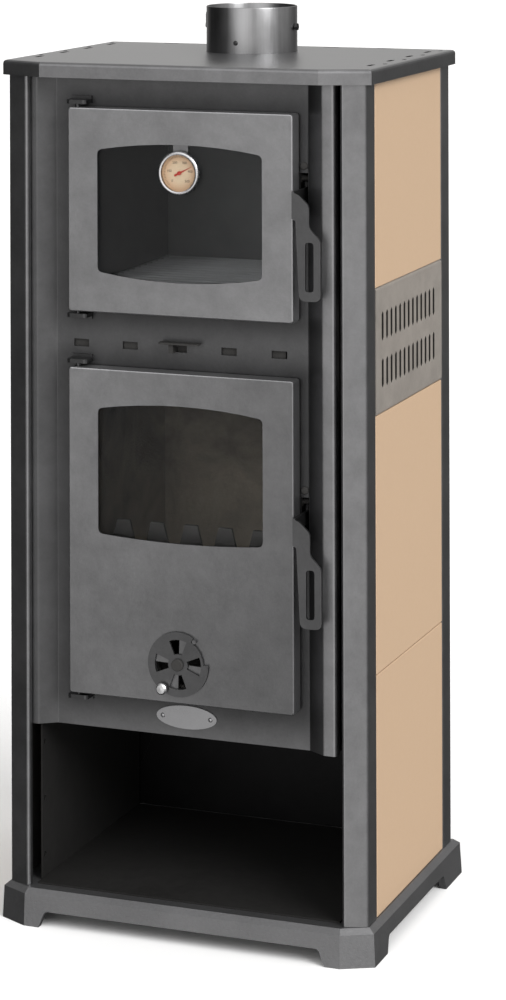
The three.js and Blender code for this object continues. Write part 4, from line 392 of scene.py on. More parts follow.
def casting(name, base):
    """A painted casting, with the sand of its mould under the paint and small pits."""
    finish = Finish(name)
    clouds = finish.noise(9.0, 4.0, 0.6)
    sand = finish.noise(260.0, 4.0, 0.7)
    pits = finish.cells(340.0).between(0.05, 0.35)
    amount = 0.60 + clouds * 0.44 + sand * 0.36
    relief = sand + pits * 0.4
    shader = finish.principled(
        Base_Color=finish.shade(base, amount),
        Roughness=0.40 + sand * 0.16,
        Metallic=0.92,
        Normal=finish.bump(relief, 0.0004, 0.6),
    )
    return finish.surface(shader)


def sooty(name, base, roughness=0.75):
    """Dark sheet inside the body, with soot that thickens in clouds."""
    finish = Finish(name)
    clouds = finish.noise(6.0, 5.0, 0.65)
    scale = finish.noise(90.0, 4.0, 0.6)
    amount = 0.45 + clouds * 0.65 + scale * 0.45
    shader = finish.principled(
        Base_Color=finish.shade(base, amount),
        Roughness=roughness - 0.12 + clouds * 0.2,
        Specular_IOR_Level=0.12,
        Normal=finish.bump(scale, 0.0004, 0.5),
    )
    return finish.surface(shader)


def bare_steel(name, base, roughness=0.28, streaks=(4.0, 4.0, 260.0)):
    """Bare rolled or brushed steel, with fine streaks along one direction."""
    finish = Finish(name)
    lines = finish.noise(6.0, 4.0, 0.6, vector=finish.stretched(*streaks))
    stain = finish.noise(26.0, 4.0, 0.6)
    amount = 0.72 + lines * 0.30 + stain * 0.26
    shader = finish.principled(
        Base_Color=finish.shade(base, amount),
        Roughness=roughness - 0.06 + lines * 0.16 + stain * 0.10,
        Metallic=1.0,
        Normal=finish.bump(lines, 0.0001, 0.35),
    )
    return finish.surface(shader)


def glazed_tile(name, base, spread, back):
    """A satin ceramic glaze with a faint drift of tone; the hidden back is near-black, as painted
    shade.
    """
    finish = Finish(name)
    drift = finish.noise(5.0, 3.0, 0.5)
    flecks = finish.noise(240.0, 3.0, 0.6)
    pale = tuple(min(1.0, c * (1.0 + spread)) for c in base[:3]) + (1.0,)
    glaze = finish.mix(drift * 0.8 + flecks * 0.2, base, pale)
    # Painted shade: behind its outer face the tile is near-black.
    outwards = abs(finish.axes()[0]).between(back + 0.0005, back + 0.002)
    shaded_back = finish.shade(colour(0.045, 0.04, 0.036), 0.6 + drift * 0.8)
    tone = finish.mix(outwards, shaded_back, glaze)
    waves = finish.noise(14.0, 2.0, 0.4)
    normal = finish.bump(waves, 0.0008, 0.18)
    shader = finish.principled(
        Base_Color=tone,
        Roughness=0.40 + flecks * 0.12,
        Coat_Weight=0.18 + drift * 0.1,
        Coat_Roughness=0.25,
        Normal=finish.bump(flecks, 0.0001, 0.25, normal),
    )
    return finish.surface(shader)


def fired_clay(name, base, low, high):
    """Firebrick, blackened from its upper edge down."""
    finish = Finish(name)
    height = finish.axes()[2]
    grit = finish.noise(320.0, 4.0, 0.7)
    patches = finish.noise(12.0, 5.0, 0.6, distortion=0.6)
    soot = ((height - low) / (high - low) * 0.9 + patches * 1.1 - 0.45).clamped()
    clay = finish.shade(base, 0.65 + grit * 0.5 + patches * 0.25)
    shader = finish.principled(
        Base_Color=finish.mix(soot, clay, colour(0.02, 0.018, 0.016)),
        Roughness=0.88 + grit * 0.1,
        Normal=finish.bump(grit + patches * 2.0, 0.0012, 0.7),
    )
    return finish.surface(shader)


def braided_rope(name, base):
    """Glass-fibre rope: two sets of slanted strands that cross."""
    finish = Finish(name)
    x, y, z = finish.axes()
    along = x + z
    across = y * 1.6
    one = ((along + across) * 1500.0).sine()
    other = ((along - across) * 1500.0).sine()
    strands = one.at_least(other)
    fuzz = finish.noise(900.0, 3.0, 0.7)
    amount = 0.55 + strands * 0.25 + fuzz * 0.5
    shader = finish.principled(
        Base_Color=finish.shade(base, amount),
        Roughness=0.9 + fuzz * 0.1,
        Normal=finish.bump(strands + fuzz * 0.5, 0.0008, 0.8),
    )
    return finish.surface(shader)


def heat_glass(name, tint, sheen):
    """A clear pane: it lets the light through, and mirrors more of it at a slant."""
    finish = Finish(name)
    smears = finish.noise(18.0, 4.0, 0.6, distortion=0.8)
    haze = finish.noise(5.0, 3.0, 0.5)
    through = finish.node("ShaderNodeBsdfTransparent", inputs={"Color": tint}).outputs[0]
    gloss = finish.principled(
        Base_Color=colour(0.02, 0.02, 0.02),
        Roughness=0.04 + smears * 0.09,
        Specular_IOR_Level=1.0,
        Normal=finish.bump(haze, 0.0006, 0.12),
    )
    slant = finish.node("ShaderNodeFresnel", inputs={"IOR": 1.5}).outputs[0]
    amount = (Value(finish.tree, slant) * sheen + smears * 0.05 + 0.03).clamped()
    inputs = {0: amount, 1: through, 2: gloss}
    return finish.surface(finish.node("ShaderNodeMixShader", inputs=inputs).outputs[0])


def dial_card(name, base, rim, centre, radius):
    """The dial's card: pale in the middle and warmer towards its rim."""
    finish = Finish(name)
    x, _, z = finish.axes()
    dx = x - centre[0]
    dz = z - centre[2]
    reach = (dx * dx + dz * dz) ** 0.5 / radius
    paper = finish.noise(700.0, 3.0, 0.6)
    tone = finish.mix(reach.between(0.35, 1.0), base, rim)
    shader = finish.principled(
        Base_Color=finish.shade(tone, 0.9 + paper * 0.2),
        Roughness=0.55 + paper * 0.1,
    )
    return finish.surface(shader)


def ink(name, base):
    """Printing ink or enamel, a little uneven."""
    finish = Finish(name)
    uneven = finish.noise(600.0, 3.0, 0.6)
    shader = finish.principled(
        Base_Color=finish.shade(base, 0.85 + uneven * 0.3),
        Roughness=0.45 + uneven * 0.15,
    )
    return finish.surface(shader)


# ---------------------------------------------------------------- piece helpers


def linked(mesh, name, material, smooth=True):
    """A mesh as a shown object at the origin."""
    mesh.materials.clear()
    mesh.materials.append(material)
    mesh.polygons.foreach_set("use_smooth", [smooth] * len(mesh.polygons))
    piece = bpy.data.objects.new(name.replace(" ", "_"), mesh)
    bpy.context.scene.collection.objects.link(piece)
    return piece


def turned(name, profile, centre, axis, sides, material, crease=30.0):
    """A body of revolution; the profile is a closed loop of (radius, distance along the axis).

    Edges flatter than the crease, in degrees, are shaded smooth.
    """
    shape = bmesh.new()
    axes = {"Y": ((1, 0, 0), (0, 0, 1), (0, 1, 0)), "Z": ((1, 0, 0), (0, 1, 0), (0, 0, 1))}
    across, up, along = (Vector(v) for v in axes[axis])
    rings = []
    for radius, distance in profile:
        hub = Vector(centre) + along * distance
        if radius < 1e-7:
            rings.append([shape.verts.new(hub)] * sides)
            continue
        ring = []
        for i in range(sides):
            angle = 2 * math.pi * i / sides
            spoke = across * math.cos(angle) + up * math.sin(angle)
            ring.append(shape.verts.new(hub + spoke * radius))
        rings.append(ring)
    for first, second in zip(rings, rings[1:] + rings[:1]):
        for i in range(sides):
            j = (i + 1) % sides
            corners = []
            for corner in (first[i], first[j], second[j], second[i]):
                if corner not in corners:
                    corners.append(corner)
            if len(corners) > 2:
                shape.faces.new(corners)
    bmesh.ops.recalc_face_normals(shape, faces=shape.faces)
    limit = math.radians(crease)
    for edge in shape.edges:
        edge.smooth = not edge.is_manifold or edge.calc_face_angle(0.0) < limit
    mesh = bpy.data.meshes.new(name)
    shape.to_mesh(mesh)
    shape.free()
    return linked(mesh, name, material)


def rounded_edges(node, width):
    """Rounds a carried-over node's edges with modifiers, and leaves its mesh alone."""
    flats = node.modifiers.new("flat faces", "DECIMATE")
    flats.decimate_type = "DISSOLVE"
    flats.angle_limit = FLAT_LIMIT
    soften = node.modifiers.new("soft shading", "NODES")
    soften.node_group = smoothing_group()
    bevel = node.modifiers.new("edges", "BEVEL")
    bevel.width = width
    bevel.segments = BEVEL_SEGMENTS
    bevel.limit_method = "ANGLE"
    bevel.angle_limit = BEVEL_LIMIT
    bevel.harden_normals = True
    bevel.use_clamp_overlap = True


def smoothing_group():
    """A node group that shades a mesh smooth."""
    name = "shade smooth"
    if name in bpy.data.node_groups:
        return bpy.data.node_groups[name]
    graph = Graph(name, [])
    inputs = {"Geometry": graph.source, "Shade Smooth": True}
    smooth = graph.node("GeometryNodeSetShadeSmooth", inputs=inputs)
    graph.finish(smooth.outputs[0])
    return graph.group


class Graph:
    """Builds a geometry node group with named inputs."""

    def __init__(self, name, inputs):
        self.group = bpy.data.node_groups.new(name, "GeometryNodeTree")
        sockets = self.group.interface
        sockets.new_socket("Geometry", in_out="INPUT", socket_type="NodeSocketGeometry")
        for label, kind, default in inputs:
            socket = sockets.new_socket(label, in_out="INPUT", socket_type="NodeSocket" + kind)
            socket.default_value = default
        sockets.new_socket("Geometry", in_out="OUTPUT", socket_type="NodeSocketGeometry")
        self.entry = self.group.nodes.new("NodeGroupInput")
        self.source = self.entry.outputs["Geometry"]

    def __getitem__(self, label):
        return Value(self.group, self.entry.outputs[label])

    def node(self, kind, settings=None, inputs=None):
        return placed(self.group, kind, settings or {}, inputs or {})

    def added(self, kind, inputs):
        """The first output of a node that needs no settings."""
        return self.node(kind, inputs=inputs).outputs[0]

    def finish(self, geometry):
        leave = self.group.nodes.new("NodeGroupOutput")
        self.group.links.new(geometry, leave.inputs[0])

    def realised(self, geometry, material):
        """Ends the group with its instances made real and painted."""
        real = self.node("GeometryNodeRealizeInstances", inputs={0: geometry})
        inputs = {"Geometry": real.outputs[0], "Material": material}
        coated = self.node("GeometryNodeSetMaterial", inputs=inputs)
        self.finish(coated.outputs[0])


def grown(name, group, values):
    """Runs a node group on an empty mesh and keeps the result as a piece of its own."""
    seed = bpy.data.objects.new(name + " seed", bpy.data.meshes.new(name + " seed"))
    bpy.context.scene.collection.objects.link(seed)
    modifier = seed.modifiers.new("grow", "NODES")
    modifier.node_group = group
    for item in group.interface.items_tree:
        if item.item_type == "SOCKET" and item.in_out == "INPUT" and item.name in values:
            modifier[item.identifier] = values[item.name]
    bpy.context.view_layer.update()
    depsgraph = bpy.context.evaluated_depsgraph_get()
    mesh = bpy.data.meshes.new_from_object(seed.evaluated_get(depsgraph))
    mesh.name = name
    seed_mesh = seed.data
    bpy.data.objects.remove(seed)
    bpy.data.meshes.remove(seed_mesh)
    if not mesh.polygons:
        raise RuntimeError(name + " came out empty")
    piece = bpy.data.objects.new(name.replace(" ", "_"), mesh)
    bpy.context.scene.collection.objects.link(piece)
    return piece


def painted(name, material):
    """Gives every slot of a carried-over node one material."""
    node = NODES[name]
    for slot in node.material_slots:
        slot.material = material
    if not node.material_slots:
        node.data.materials.append(material)


def middle(node):
    low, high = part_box(node)
    return (Vector(low) + Vector(high)) / 2


# ---------------------------------------------------------------- settings


class StoveFinish(bpy.types.PropertyGroup):
    steel: bpy.props.FloatVectorProperty(
        name="Steel paint",
        description="Colour of the doors, posts, panel and hob",
        subtype="COLOR",
        size=4,
        min=0.0,
        max=1.0,
        default=(0.20, 0.20, 0.205, 1.0),
    )
    tile: bpy.props.FloatVectorProperty(
        name="Tile glaze",
        description="Colour of the side tiles",
        subtype="COLOR",
        size=4,
        min=0.0,
        max=1.0,
        default=(0.455, 0.32, 0.21, 1.0),
    )
    inside: bpy.props.FloatVectorProperty(
        name="Inner sheet",
        description="Colour of the sooty sheet inside",
        subtype="COLOR",
        size=4,
        min=0.0,
        max=1.0,
        default=(0.035, 0.034, 0.033, 1.0),
    )
    edge: bpy.props.FloatProperty(
        name="Edge radius",
        description="Rounding of sheet edges and folds",
        subtype="DISTANCE",
        unit="LENGTH",
        min=0.0,
        max=0.003,
        default=0.0008,
    )


class StoveDial(bpy.types.PropertyGroup):
    ticks: bpy.props.IntProperty(
        name="Marks",
        description="Number of steps between the first and the last mark of the dial",
        min=5,
        max=100,
        default=50,
    )
    sweep: bpy.props.FloatProperty(
        name="Sweep",
        description="Angle between the first and the last mark",
        subtype="ANGLE",
        min=1.0,
        max=6.0,
        default=math.radians(270.0),
    )
    numbers: bpy.props.IntProperty(
        name="Numbers",
        description="How many numbers stand round the dial",
        min=2,
        max=11,
        default=6,
    )


class StoveLight(bpy.types.PropertyGroup):
    key: bpy.props.FloatProperty(
        name="Key light",
        description="Strength of the soft light from the right",
        min=0.0,
        max=20.0,
        default=2.6,
    )
    fill: bpy.props.FloatProperty(
        name="Fill light",
        description="Strength of the soft light from the front",
        min=0.0,
        max=20.0,
        default=0.85,
    )
    sky: bpy.props.FloatProperty(
        name="Surroundings",
        description="Strength of the glows that the steel mirrors",
        min=0.0,
        max=10.0,
        default=1.0,
    )


# ---------------------------------------------------------------- operators


class STOVE_OT_sheets(bpy.types.Operator):
    """Finish the sheets, castings and panes that come from the frame"""

    bl_idname = "stove.sheets"
    bl_label = "Finish sheets and castings"

    def execute(self, context):
        look = context.scene.stove_finish
        finishes = self.paints(tuple(look.steel))
        finishes.update(self.sheets(tuple(look.inside)))
        finishes.update(self.others(tuple(look.tile)))
        for name, node in NODES.items():
            kinds = [kind for start, kind in FINISH_BY_START.items() if name.startswith(start)]
            kind = FINISH_BY_NAME.get(name) or (kinds + ["steel"])[0]
            painted(name, finishes[kind])
            if not name.endswith("_glass"):
                bold = BOLD_EDGE if name in BOLD_PIECES else 1.0
                width = THIN_EDGE if name.startswith("grille") else bold
                rounded_edges(node, look.edge * width)
        return {"FINISHED"}

    def paints(self, steel):
        """The steel paint and its lighter and darker kinds, and the castings."""
        doors = (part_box("oven_door_shell"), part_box("fire_door_shell"))
        low, high = doors[1]
        # Painted shade: the fire door darkens towards its right side and towards its bottom.
        fire_door_shade_fades = [(0, low[0], high[0], -0.32), (2, high[2], low[2], -0.22)]
        left, right = (corner[0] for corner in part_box("front_panel"))
        # Painted highlight on the panel's right strip and painted shade on its left strip.
        folds = [(0, right - 0.04, right - 0.01, 0.7), (0, left + 0.07, left + 0.02, -0.3)]
        # Painted shade on the hob's slot walls.
        hob_slot_shade = (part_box("top_plate"), 2, 0.07)
        # Painted shade: the whole inner face of the rear sheet is almost black.
        rear_inside_shade = (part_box("back_panel"), 1, 0.0, -0.002)
        panel = toned(steel, PANEL_TONE)
        door = toned(steel, DOOR_TONE)
        return {
            "steel": satin_paint("satin steel paint", steel),
            "casting": casting("painted casting", steel),
            "iron": casting("fire iron", colour(0.13, 0.125, 0.12)),
            "hob": satin_paint("hob paint", steel, recess_shade=hob_slot_shade),
            "panel": satin_paint("panel paint", panel, 0.42, doors=doors, fades=folds),
            "oven door": satin_paint("oven door paint", door, sheet=doors[0]),
            "fire door": satin_paint("fire door paint", door, fades=fire_door_shade_fades, sheet=doors[1]),
            "disc": satin_paint("disc paint", toned(steel, DISC_TONE), 0.4),
            "rear": satin_paint("rear sheet paint", steel, 0.45, recess_shade=rear_inside_shade),
            "lever": satin_paint("lever paint", toned(steel, LEVER_TONE), 0.36),
            "hook": satin_paint("hook paint", toned(steel, HOOK_TONE), 0.36),
        }

    def sheets(self, inside):
        """The sooty sheet and its darker kinds, which are painted shade."""
        return {
            "sooty": sooty("sooty sheet", inside),
            "compartment": sooty("compartment sheet with painted shade", toned(inside, COMPARTMENT_SHADE_TONE), 0.6),
            "hidden": sooty("hidden sheet with painted shade", toned(inside, INNER_SHADE_TONE), 0.9),
        }

    def others(self, beige):
        """Everything that is neither steel paint nor sooty sheet."""
        taupe = colour(0.27, 0.245, 0.22)
        # Painted shade on the grille's slot walls.
        grille_slot_shade = (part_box("grille_right"), 0)
        low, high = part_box("brick_left")
        tile_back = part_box("tile_right_top")[0][0]
        plate_grain = (60.0, 60.0, 400.0)
        wire_grain = (3.0, 20.0, 20.0)
        return {
            "grille": satin_paint("taupe paint", taupe, 0.5, 0.3, recess_shade=grille_slot_shade),
            "enamel": satin_paint("oven enamel", colour(0.16, 0.16, 0.16), 0.45, 0.1),
            "tile": glazed_tile("beige glaze", beige, 0.05, tile_back),
            "clay": fired_clay("fired clay", colour(0.66, 0.56, 0.43), low[2], high[2]),
            "pane": heat_glass("heat-resisting glass", colour(0.92, 0.925, 0.93), 1.3),
            "bright": bare_steel("brushed steel", colour(0.62, 0.62, 0.63), 0.3),
            "badge": bare_steel("polished plate", colour(0.33, 0.33, 0.34), 0.24, plate_grain),
            "wire": bare_steel("chromed wire", colour(0.85, 0.85, 0.86), 0.4, wire_grain),
        }


class STOVE_OT_collar(bpy.types.Operator):
    """Roll the flue collar, with its rolled rim and its rivet"""

    bl_idname = "stove.collar"
    bl_label = "Flue collar"

    def execute(self, context):
        low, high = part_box("flue_collar")
        centre = middle("flue_collar")
        plate_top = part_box("top_plate")[1][2]
        wall = 2 * MM
        flange = 10 * MM
        outer = (high[0] - low[0]) / 2 - flange
        bottom = low[2]
        top = high[2]
        grain = (40.0, 40.0, 2.0)
        steel = bare_steel("rolled flue steel", colour(0.27, 0.27, 0.275), 0.24, grain)
        profile = [
            (outer - wall, bottom),
            (outer + flange, bottom),
            (outer + flange, bottom + wall),
            (outer, bottom + wall),
            (outer, top - 1.2 * MM),
            (outer - 0.3 * MM, top - 0.3 * MM),
            (outer - wall / 2, top),
            (outer - wall + 0.3 * MM, top - 0.3 * MM),
            (outer - wall, top - 1.2 * MM),
        ]
        place = (0.0, centre[1], 0.0)
        collar = turned("flue collar", profile, place, "Z", COLLAR_SIDES, steel)
        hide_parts("flue_collar")
        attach(collar, "cabinet")
        height = plate_top + 14 * MM
        rivet = [
            (0.0, -2.0 * MM),
            (2.0 * MM, -1.7 * MM),
            (3.2 * MM, 0.0),
            (3.2 * MM, 1.0 * MM),
            (0.0, 1.0 * MM),
        ]
        spot = (0.0, centre[1] - outer, height)
        dark = satin_paint("blackened rivet", colour(0.05, 0.05, 0.05), 0.5, 0.8)
        head = turned("collar rivet", rivet, spot, "Y", RIVET_SIDES, dark)
        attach(head, "cabinet")
        return {"FINISHED"}


class STOVE_OT_thermometer(bpy.types.Operator):
    """Make the oven thermometer: bezel, printed dial, pointer and lens"""

    bl_idname = "stove.thermometer"
    bl_label = "Oven thermometer"

    def execute(self, context):
        self.case_piece()
        self.dial_piece(context.scene.stove_dial)
        self.pointer_piece()
        return {"FINISHED"}

    def case_piece(self):
        low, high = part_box("thermometer_case")
        centre = middle("thermometer_case")
        radius = (high[0] - low[0]) / 2
        front, back = low[1], high[1]
        inner = radius - 3.5 * MM
        profile = [
            (0.0, back),
            (0.0, back - 1.5 * MM),
            (inner, back - 1.5 * MM),
            (inner, front + 1.2 * MM),
            (inner - 1.0 * MM, front + 0.9 * MM),
            (inner - 1.0 * MM, front + 0.4 * MM),
            (inner, front + 0.1 * MM),
            (inner + 1.0 * MM, front),
            (radius - 1.4 * MM, front + 0.3 * MM),
            (radius - 0.5 * MM, front + 1.1 * MM),
            (radius, front + 2.4 * MM),
            (radius, front + 5.0 * MM),
            (radius - 0.7 * MM, front + 5.8 * MM),
            (radius - 2.0 * MM, front + 6.5 * MM),
            (radius - 3.0 * MM, back),
        ]
        chrome = bare_steel("polished rim", colour(0.52, 0.52, 0.53), 0.2, (90.0, 90.0, 90.0))
        place = (centre[0], 0.0, centre[2])
        case = turned("thermometer rim", profile, place, "Y", CASE_SIDES, chrome, 45.0)
        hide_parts("thermometer_case")
        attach(case, "oven_door")

    def dial_piece(self, dial):
        low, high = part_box("thermometer_dial")
        centre = middle("thermometer_dial")
        radius = (high[0] - low[0]) / 2
        face = low[1]
        cream = colour(0.96, 0.76, 0.52)
        warm = colour(0.86, 0.55, 0.33)
        painted("thermometer_dial", dial_card("dial card", cream, warm, centre, radius))
        print_ink = ink("dial ink", colour(0.10, 0.05, 0.04))
        values = self.mark_values(dial, radius, centre, face)
        marks = grown("dial marks", self.marks_group(print_ink), values)
        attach(marks, "oven_door")
        for i in range(dial.numbers):
            angle = self.angle_of(dial, i / (dial.numbers - 1))
            figure = self.figure(str(FIGURE_STEP * i), FIGURE_HEIGHT, print_ink)
            spot = Vector((math.cos(angle), 0.0, math.sin(angle))) * radius * FIGURE_REACH
            spot += Vector((centre[0], face - PRINT_DEPTH, centre[2]))
            figure.data.transform(Matrix.Translation(spot))
            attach(figure, "oven_door")

    def angle_of(self, dial, part):
        """The angle of a mark, from +X towards +Z; the scale starts at the lower left."""
        return math.radians(90.0) + dial.sweep / 2 - dial.sweep * part

    def mark_values(self, dial, radius, centre, face):
        return {
            "Steps": dial.ticks,
            "Sweep": dial.sweep,
            "Radius": radius * MARK_REACH,
            "Length": MARK_LENGTH,
            "Width": MARK_WIDTH,
            "Centre": (centre[0], face - 0.03 * MM, centre[2]),
        }

    def marks_group(self, material):
        inputs = [
            ("Steps", "Int", 50),
            ("Sweep", "Float", 4.7),
            ("Radius", "Float", 0.02),
            ("Length", "Float", 0.002),
            ("Width", "Float", 0.0003),
            ("Centre", "Vector", (0.0, 0.0, 0.0)),
        ]
        graph = Graph("marks round a dial", inputs)
        index = Value(graph.group, graph.node("GeometryNodeInputIndex").outputs[0])
        angle = graph["Sweep"] * (index / graph["Steps"]) - graph["Sweep"] * 0.5
        inputs = {
            "X": angle.sine() * graph["Radius"],
            "Z": (angle + math.pi / 2).sine() * graph["Radius"],
        }
        place = graph.added("ShaderNodeCombineXYZ", inputs)
        inputs = {0: place, 1: graph["Centre"]}
        moved = graph.node("ShaderNodeVectorMath", {"operation": "ADD"}, inputs).outputs[0]
        row = graph.added("GeometryNodeMeshLine", {"Count": graph["Steps"] + 1.0})
        points = graph.added("GeometryNodeSetPosition", {"Geometry": row, "Position": moved})
        inputs = {"X": graph["Width"], "Y": 2 * PRINT_DEPTH, "Z": graph["Length"]}
        size = graph.added("ShaderNodeCombineXYZ", inputs)
        mark = graph.added("GeometryNodeMeshCube", {"Size": size})
        turn = graph.added("ShaderNodeCombineXYZ", {"Y": angle})
        inputs = {"Points": points, "Instance": mark, "Rotation": turn}
        graph.realised(graph.added("GeometryNodeInstanceOnPoints", inputs), material)
        return graph.group

    def figure(self, text, height, material):
        """A plain number as a thin mesh, standing upright and facing the front."""
        curve = bpy.data.curves.new("figure " + text, "FONT")
        curve.body = text
        curve.size = height
        curve.align_x = "CENTER"
        curve.align_y = "CENTER"
        curve.extrude = PRINT_DEPTH
        curve.resolution_u = 4
        holder = bpy.data.objects.new("figure " + text, curve)
        bpy.context.scene.collection.objects.link(holder)
        bpy.context.view_layer.update()
        depsgraph = bpy.context.evaluated_depsgraph_get()
        mesh = bpy.data.meshes.new_from_object(holder.evaluated_get(depsgraph))
        bpy.data.objects.remove(holder)
        bpy.data.curves.remove(curve)
        mesh.transform(Matrix.Rotation(math.radians(90.0), 4, "X"))
        return linked(mesh, "figure " + text, material, smooth=False)

    def pointer_piece(self):
        painted("thermometer_needle", ink("pointer enamel", colour(0.62, 0.05, 0.03)))
        pane = heat_glass("thermometer lens", colour(0.99, 0.99, 0.99), 0.5)
        painted("thermometer_lens", pane)


class STOVE_OT_ropes(bpy.types.Operator):
    """Lay the door ropes round the frames"""

    bl_idname = "stove.ropes"
    bl_label = "Door ropes"

    def execute(self, context):
        rope = braided_rope("braided glass fibre", colour(0.10, 0.095, 0.09))
        graph = self.ring_group(rope)
        for door in ("oven", "fire"):
            node = door + "_door_seal"
            low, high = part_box(node)
            values = {
                "Width": high[0] - low[0] - ROPE_WIDTH,
                "Height": high[2] - low[2] - ROPE_WIDTH,
                "Corner": ROPE_CORNER,
                "Rope width": ROPE_WIDTH / 2,
                "Rope depth": (high[1] - low[1]) / 2,
                "Centre": tuple(middle(node)),
            }
            ring = grown(door + " door rope", graph, values)
            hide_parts(node)
            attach(ring, door + "_door")
        return {"FINISHED"}

    def ring_group(self, material):
        inputs = [
            ("Width", "Float", 0.3),
            ("Height", "Float", 0.4),
            ("Corner", "Float", 0.01),
            ("Rope width", "Float", 0.005),
            ("Rope depth", "Float", 0.006),
            ("Centre", "Vector", (0.0, 0.0, 0.0)),
        ]
        graph = Graph("rope round a frame", inputs)
        inputs = {"Width": graph["Width"], "Height": graph["Height"]}
        ring = graph.added("GeometryNodeCurvePrimitiveQuadrilateral", inputs)
        inputs = {"Curve": ring, "Radius": graph["Corner"], "Count": 8}
        fillet = graph.node("GeometryNodeFilletCurve", {"mode": "POLY"}, inputs).outputs[0]
        inputs = {
            "Geometry": fillet,
            "Rotation": (math.radians(90.0), 0.0, 0.0),
            "Translation": graph["Centre"],
        }
        upright = graph.added("GeometryNodeTransform", inputs)
        section = graph.added("GeometryNodeCurvePrimitiveCircle", {"Resolution": 20, "Radius": 1.0})
        inputs = {"X": graph["Rope depth"], "Y": graph["Rope width"], "Z": 1.0}
        size = graph.added("ShaderNodeCombineXYZ", inputs)
        oval = graph.added("GeometryNodeTransform", {"Geometry": section, "Scale": size})
        inputs = {"Curve": upright, "Profile Curve": oval}
        swept = graph.added("GeometryNodeCurveToMesh", inputs)
        smooth = graph.added("GeometryNodeSetShadeSmooth", {"Geometry": swept})
        graph.realised(smooth, material)
        return graph.group


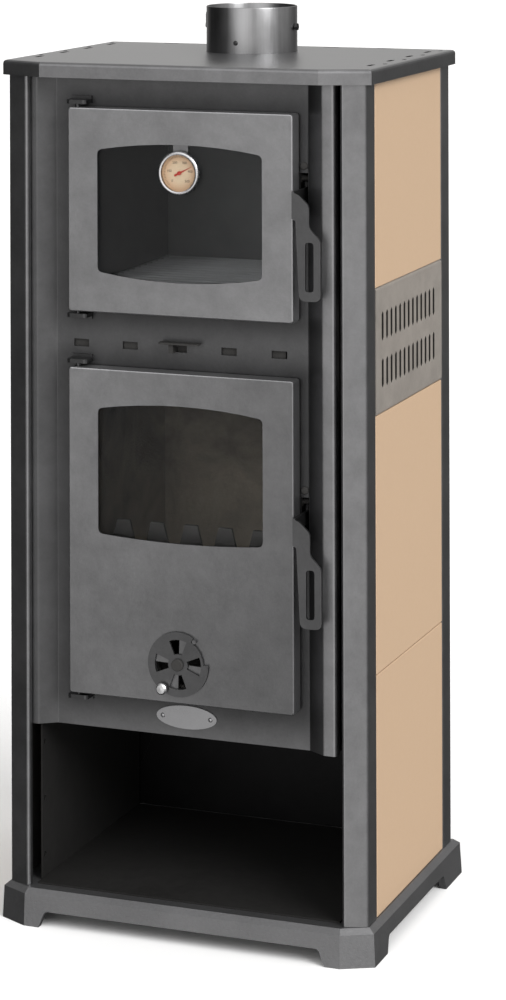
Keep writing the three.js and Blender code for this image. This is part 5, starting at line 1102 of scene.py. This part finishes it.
class STOVE_OT_stage(bpy.types.Operator):
    """Set up the floor, the surroundings, the lights and the camera"""

    bl_idname = "stove.stage"
    bl_label = "Floor, lights and camera"

    def execute(self, context):
        scene = context.scene
        scene.view_settings.view_transform = "Standard"
        scene.view_settings.look = "None"
        self.floor()
        self.surroundings(scene, scene.stove_light)
        self.lamps(scene, scene.stove_light)
        self.camera(scene)
        return {"FINISHED"}

    def floor(self):
        mesh = bpy.data.meshes.new("floor")
        turns = ((-1, -1), (1, -1), (1, 1), (-1, 1))
        corners = [(x * FLOOR_REACH, y * FLOOR_REACH, 0.0) for x, y in turns]
        mesh.from_pydata(corners, [], [(0, 1, 2, 3)])
        finish = Finish("pale floor")
        path = finish.node("ShaderNodeLightPath")
        grain = finish.noise(3.0, 3.0, 0.5)
        pale = finish.shade(colour(0.93, 0.93, 0.93), 0.99 + grain * 0.02)
        tone = finish.mix(path.outputs["Is Camera Ray"], pale, colour(1.0, 1.0, 1.0))
        matt = finish.principled(Base_Color=tone, Roughness=0.9, Specular_IOR_Level=0.0)
        clear = finish.node("ShaderNodeBsdfTransparent").outputs[0]
        inputs = {0: path.outputs["Is Glossy Ray"], 1: matt, 2: clear}
        finish.surface(finish.node("ShaderNodeMixShader", inputs=inputs).outputs[0])
        linked(mesh, "floor", finish.material, smooth=False)

    def surroundings(self, scene, light):
        """White to the camera; to the steel, bright in front and above and dark at the left."""
        world = bpy.data.worlds.new("studio")
        scene.world = world
        world.use_nodes = True
        tree = world.node_tree
        tree.nodes.clear()
        direction = placed(tree, "ShaderNodeTexCoord", {}, {}).outputs["Generated"]
        glows = [
            self.lobe(tree, direction, towards, sharpness) * strength
            for towards, sharpness, strength in GLOWS
        ]
        glow = (sum(glows[1:], glows[0]) + DIM_LIGHT) * light.sky
        inputs = {"Color": colour(1.0, 0.99, 0.975), "Strength": glow}
        around = placed(tree, "ShaderNodeBackground", {}, inputs)
        inputs = {"Color": colour(1.0, 1.0, 1.0), "Strength": BACKDROP_LIGHT}
        white = placed(tree, "ShaderNodeBackground", {}, inputs)
        path = placed(tree, "ShaderNodeLightPath", {}, {})
        inputs = {0: path.outputs["Is Camera Ray"], 1: around.outputs[0], 2: white.outputs[0]}
        mixed = placed(tree, "ShaderNodeMixShader", {}, inputs)
        output = placed(tree, "ShaderNodeOutputWorld", {}, {})
        tree.links.new(mixed.outputs[0], output.inputs["Surface"])

    def lobe(self, tree, direction, towards, sharpness):
        """A soft glow round one direction."""
        inputs = {0: direction, 1: tuple(Vector(towards).normalized())}
        dot = placed(tree, "ShaderNodeVectorMath", {"operation": "DOT_PRODUCT"}, inputs)
        return Value(tree, dot.outputs["Value"]).at_least(0.0) ** sharpness

    def lamps(self, scene, light):
        self.sun(scene, "key", light.key, *KEY_SUN)
        self.sun(scene, "fill", light.fill, *FILL_SUN)

    def sun(self, scene, name, strength, angle, towards):
        """A soft sun: the angle is its size, and it stands towards a direction."""
        data = bpy.data.lights.new(name, "SUN")
        data.energy = strength
        data.angle = math.radians(angle)
        lamp = bpy.data.objects.new(name, data)
        lamp.rotation_mode = "QUATERNION"
        lamp.rotation_quaternion = Vector(towards).to_track_quat("Z", "Y")
        scene.collection.objects.link(lamp)

    def camera(self, scene):
        """A shift-lens view: the camera looks down a little while the uprights stay parallel.

        The camera hangs on a skewed holder, because the skew stands for the lens shift.
        """
        turn = math.radians(VIEW_TURN)
        roll = math.radians(VIEW_ROLL)
        right = Vector((math.cos(turn), math.sin(turn), 0.0))
        upright = Vector((0.0, 0.0, 1.0))
        across = right * math.cos(roll) + upright * math.sin(roll)
        up = upright * math.cos(roll) - right * math.sin(roll)
        level = Vector((-math.sin(turn), math.cos(turn), 0.0))
        ahead = level * VIEW_FOCAL - up * VIEW_DROP
        skew = numpy.array([across, up, -ahead.normalized()]).T
        outer, stretch, inner = numpy.linalg.svd(skew)
        if numpy.linalg.det(outer) < 0.0:
            outer[:, 2] *= -1.0
            inner[2, :] *= -1.0
        holder = bpy.data.objects.new("camera holder", None)
        holder.location = VIEW_PLACE
        holder.rotation_mode = "QUATERNION"
        holder.rotation_quaternion = Matrix(outer.tolist()).to_quaternion()
        holder.scale = stretch.tolist()
        scene.collection.objects.link(holder)
        data = bpy.data.cameras.new("camera")
        data.sensor_width = SENSOR_WIDTH
        data.lens = ahead.length * SENSOR_WIDTH / VIEW_HEIGHT
        data.clip_end = 500.0
        camera = bpy.data.objects.new("camera", data)
        camera.rotation_mode = "QUATERNION"
        camera.rotation_quaternion = Matrix(inner.tolist()).to_quaternion()
        camera.parent = holder
        scene.collection.objects.link(camera)
        scene.camera = camera


class STOVE_PT_panel(bpy.types.Panel):
    """The stove's settings and steps"""

    bl_label = "Stove"
    bl_idname = "STOVE_PT_panel"
    bl_space_type = "VIEW_3D"
    bl_region_type = "UI"
    bl_category = "Stove"

    def draw(self, context):
        scene = context.scene
        groups = (scene.stove_finish, scene.stove_dial, scene.stove_light)
        for settings in groups:
            column = self.layout.column()
            for name in settings.bl_rna.properties.keys():
                if name not in {"rna_type", "name"}:
                    column.prop(settings, name)
        for step in STEPS:
            self.layout.operator("stove." + step)


STEPS = ("sheets", "collar", "thermometer", "ropes", "stage")

CLASSES = (
    StoveFinish,
    StoveDial,
    StoveLight,
    STOVE_OT_sheets,
    STOVE_OT_collar,
    STOVE_OT_thermometer,
    STOVE_OT_ropes,
    STOVE_OT_stage,
    STOVE_PT_panel,
)


def register():
    for item in CLASSES:
        bpy.utils.register_class(item)
    bpy.types.Scene.stove_finish = bpy.props.PointerProperty(type=StoveFinish)
    bpy.types.Scene.stove_dial = bpy.props.PointerProperty(type=StoveDial)
    bpy.types.Scene.stove_light = bpy.props.PointerProperty(type=StoveLight)


def unregister():
    del bpy.types.Scene.stove_light
    del bpy.types.Scene.stove_dial
    del bpy.types.Scene.stove_finish
    for item in reversed(CLASSES):
        bpy.utils.unregister_class(item)


def main():
    register()
    for step in STEPS:
        getattr(bpy.ops.stove, step)()
    bpy.context.view_layer.update()


if __name__ == "__main__":
    main()
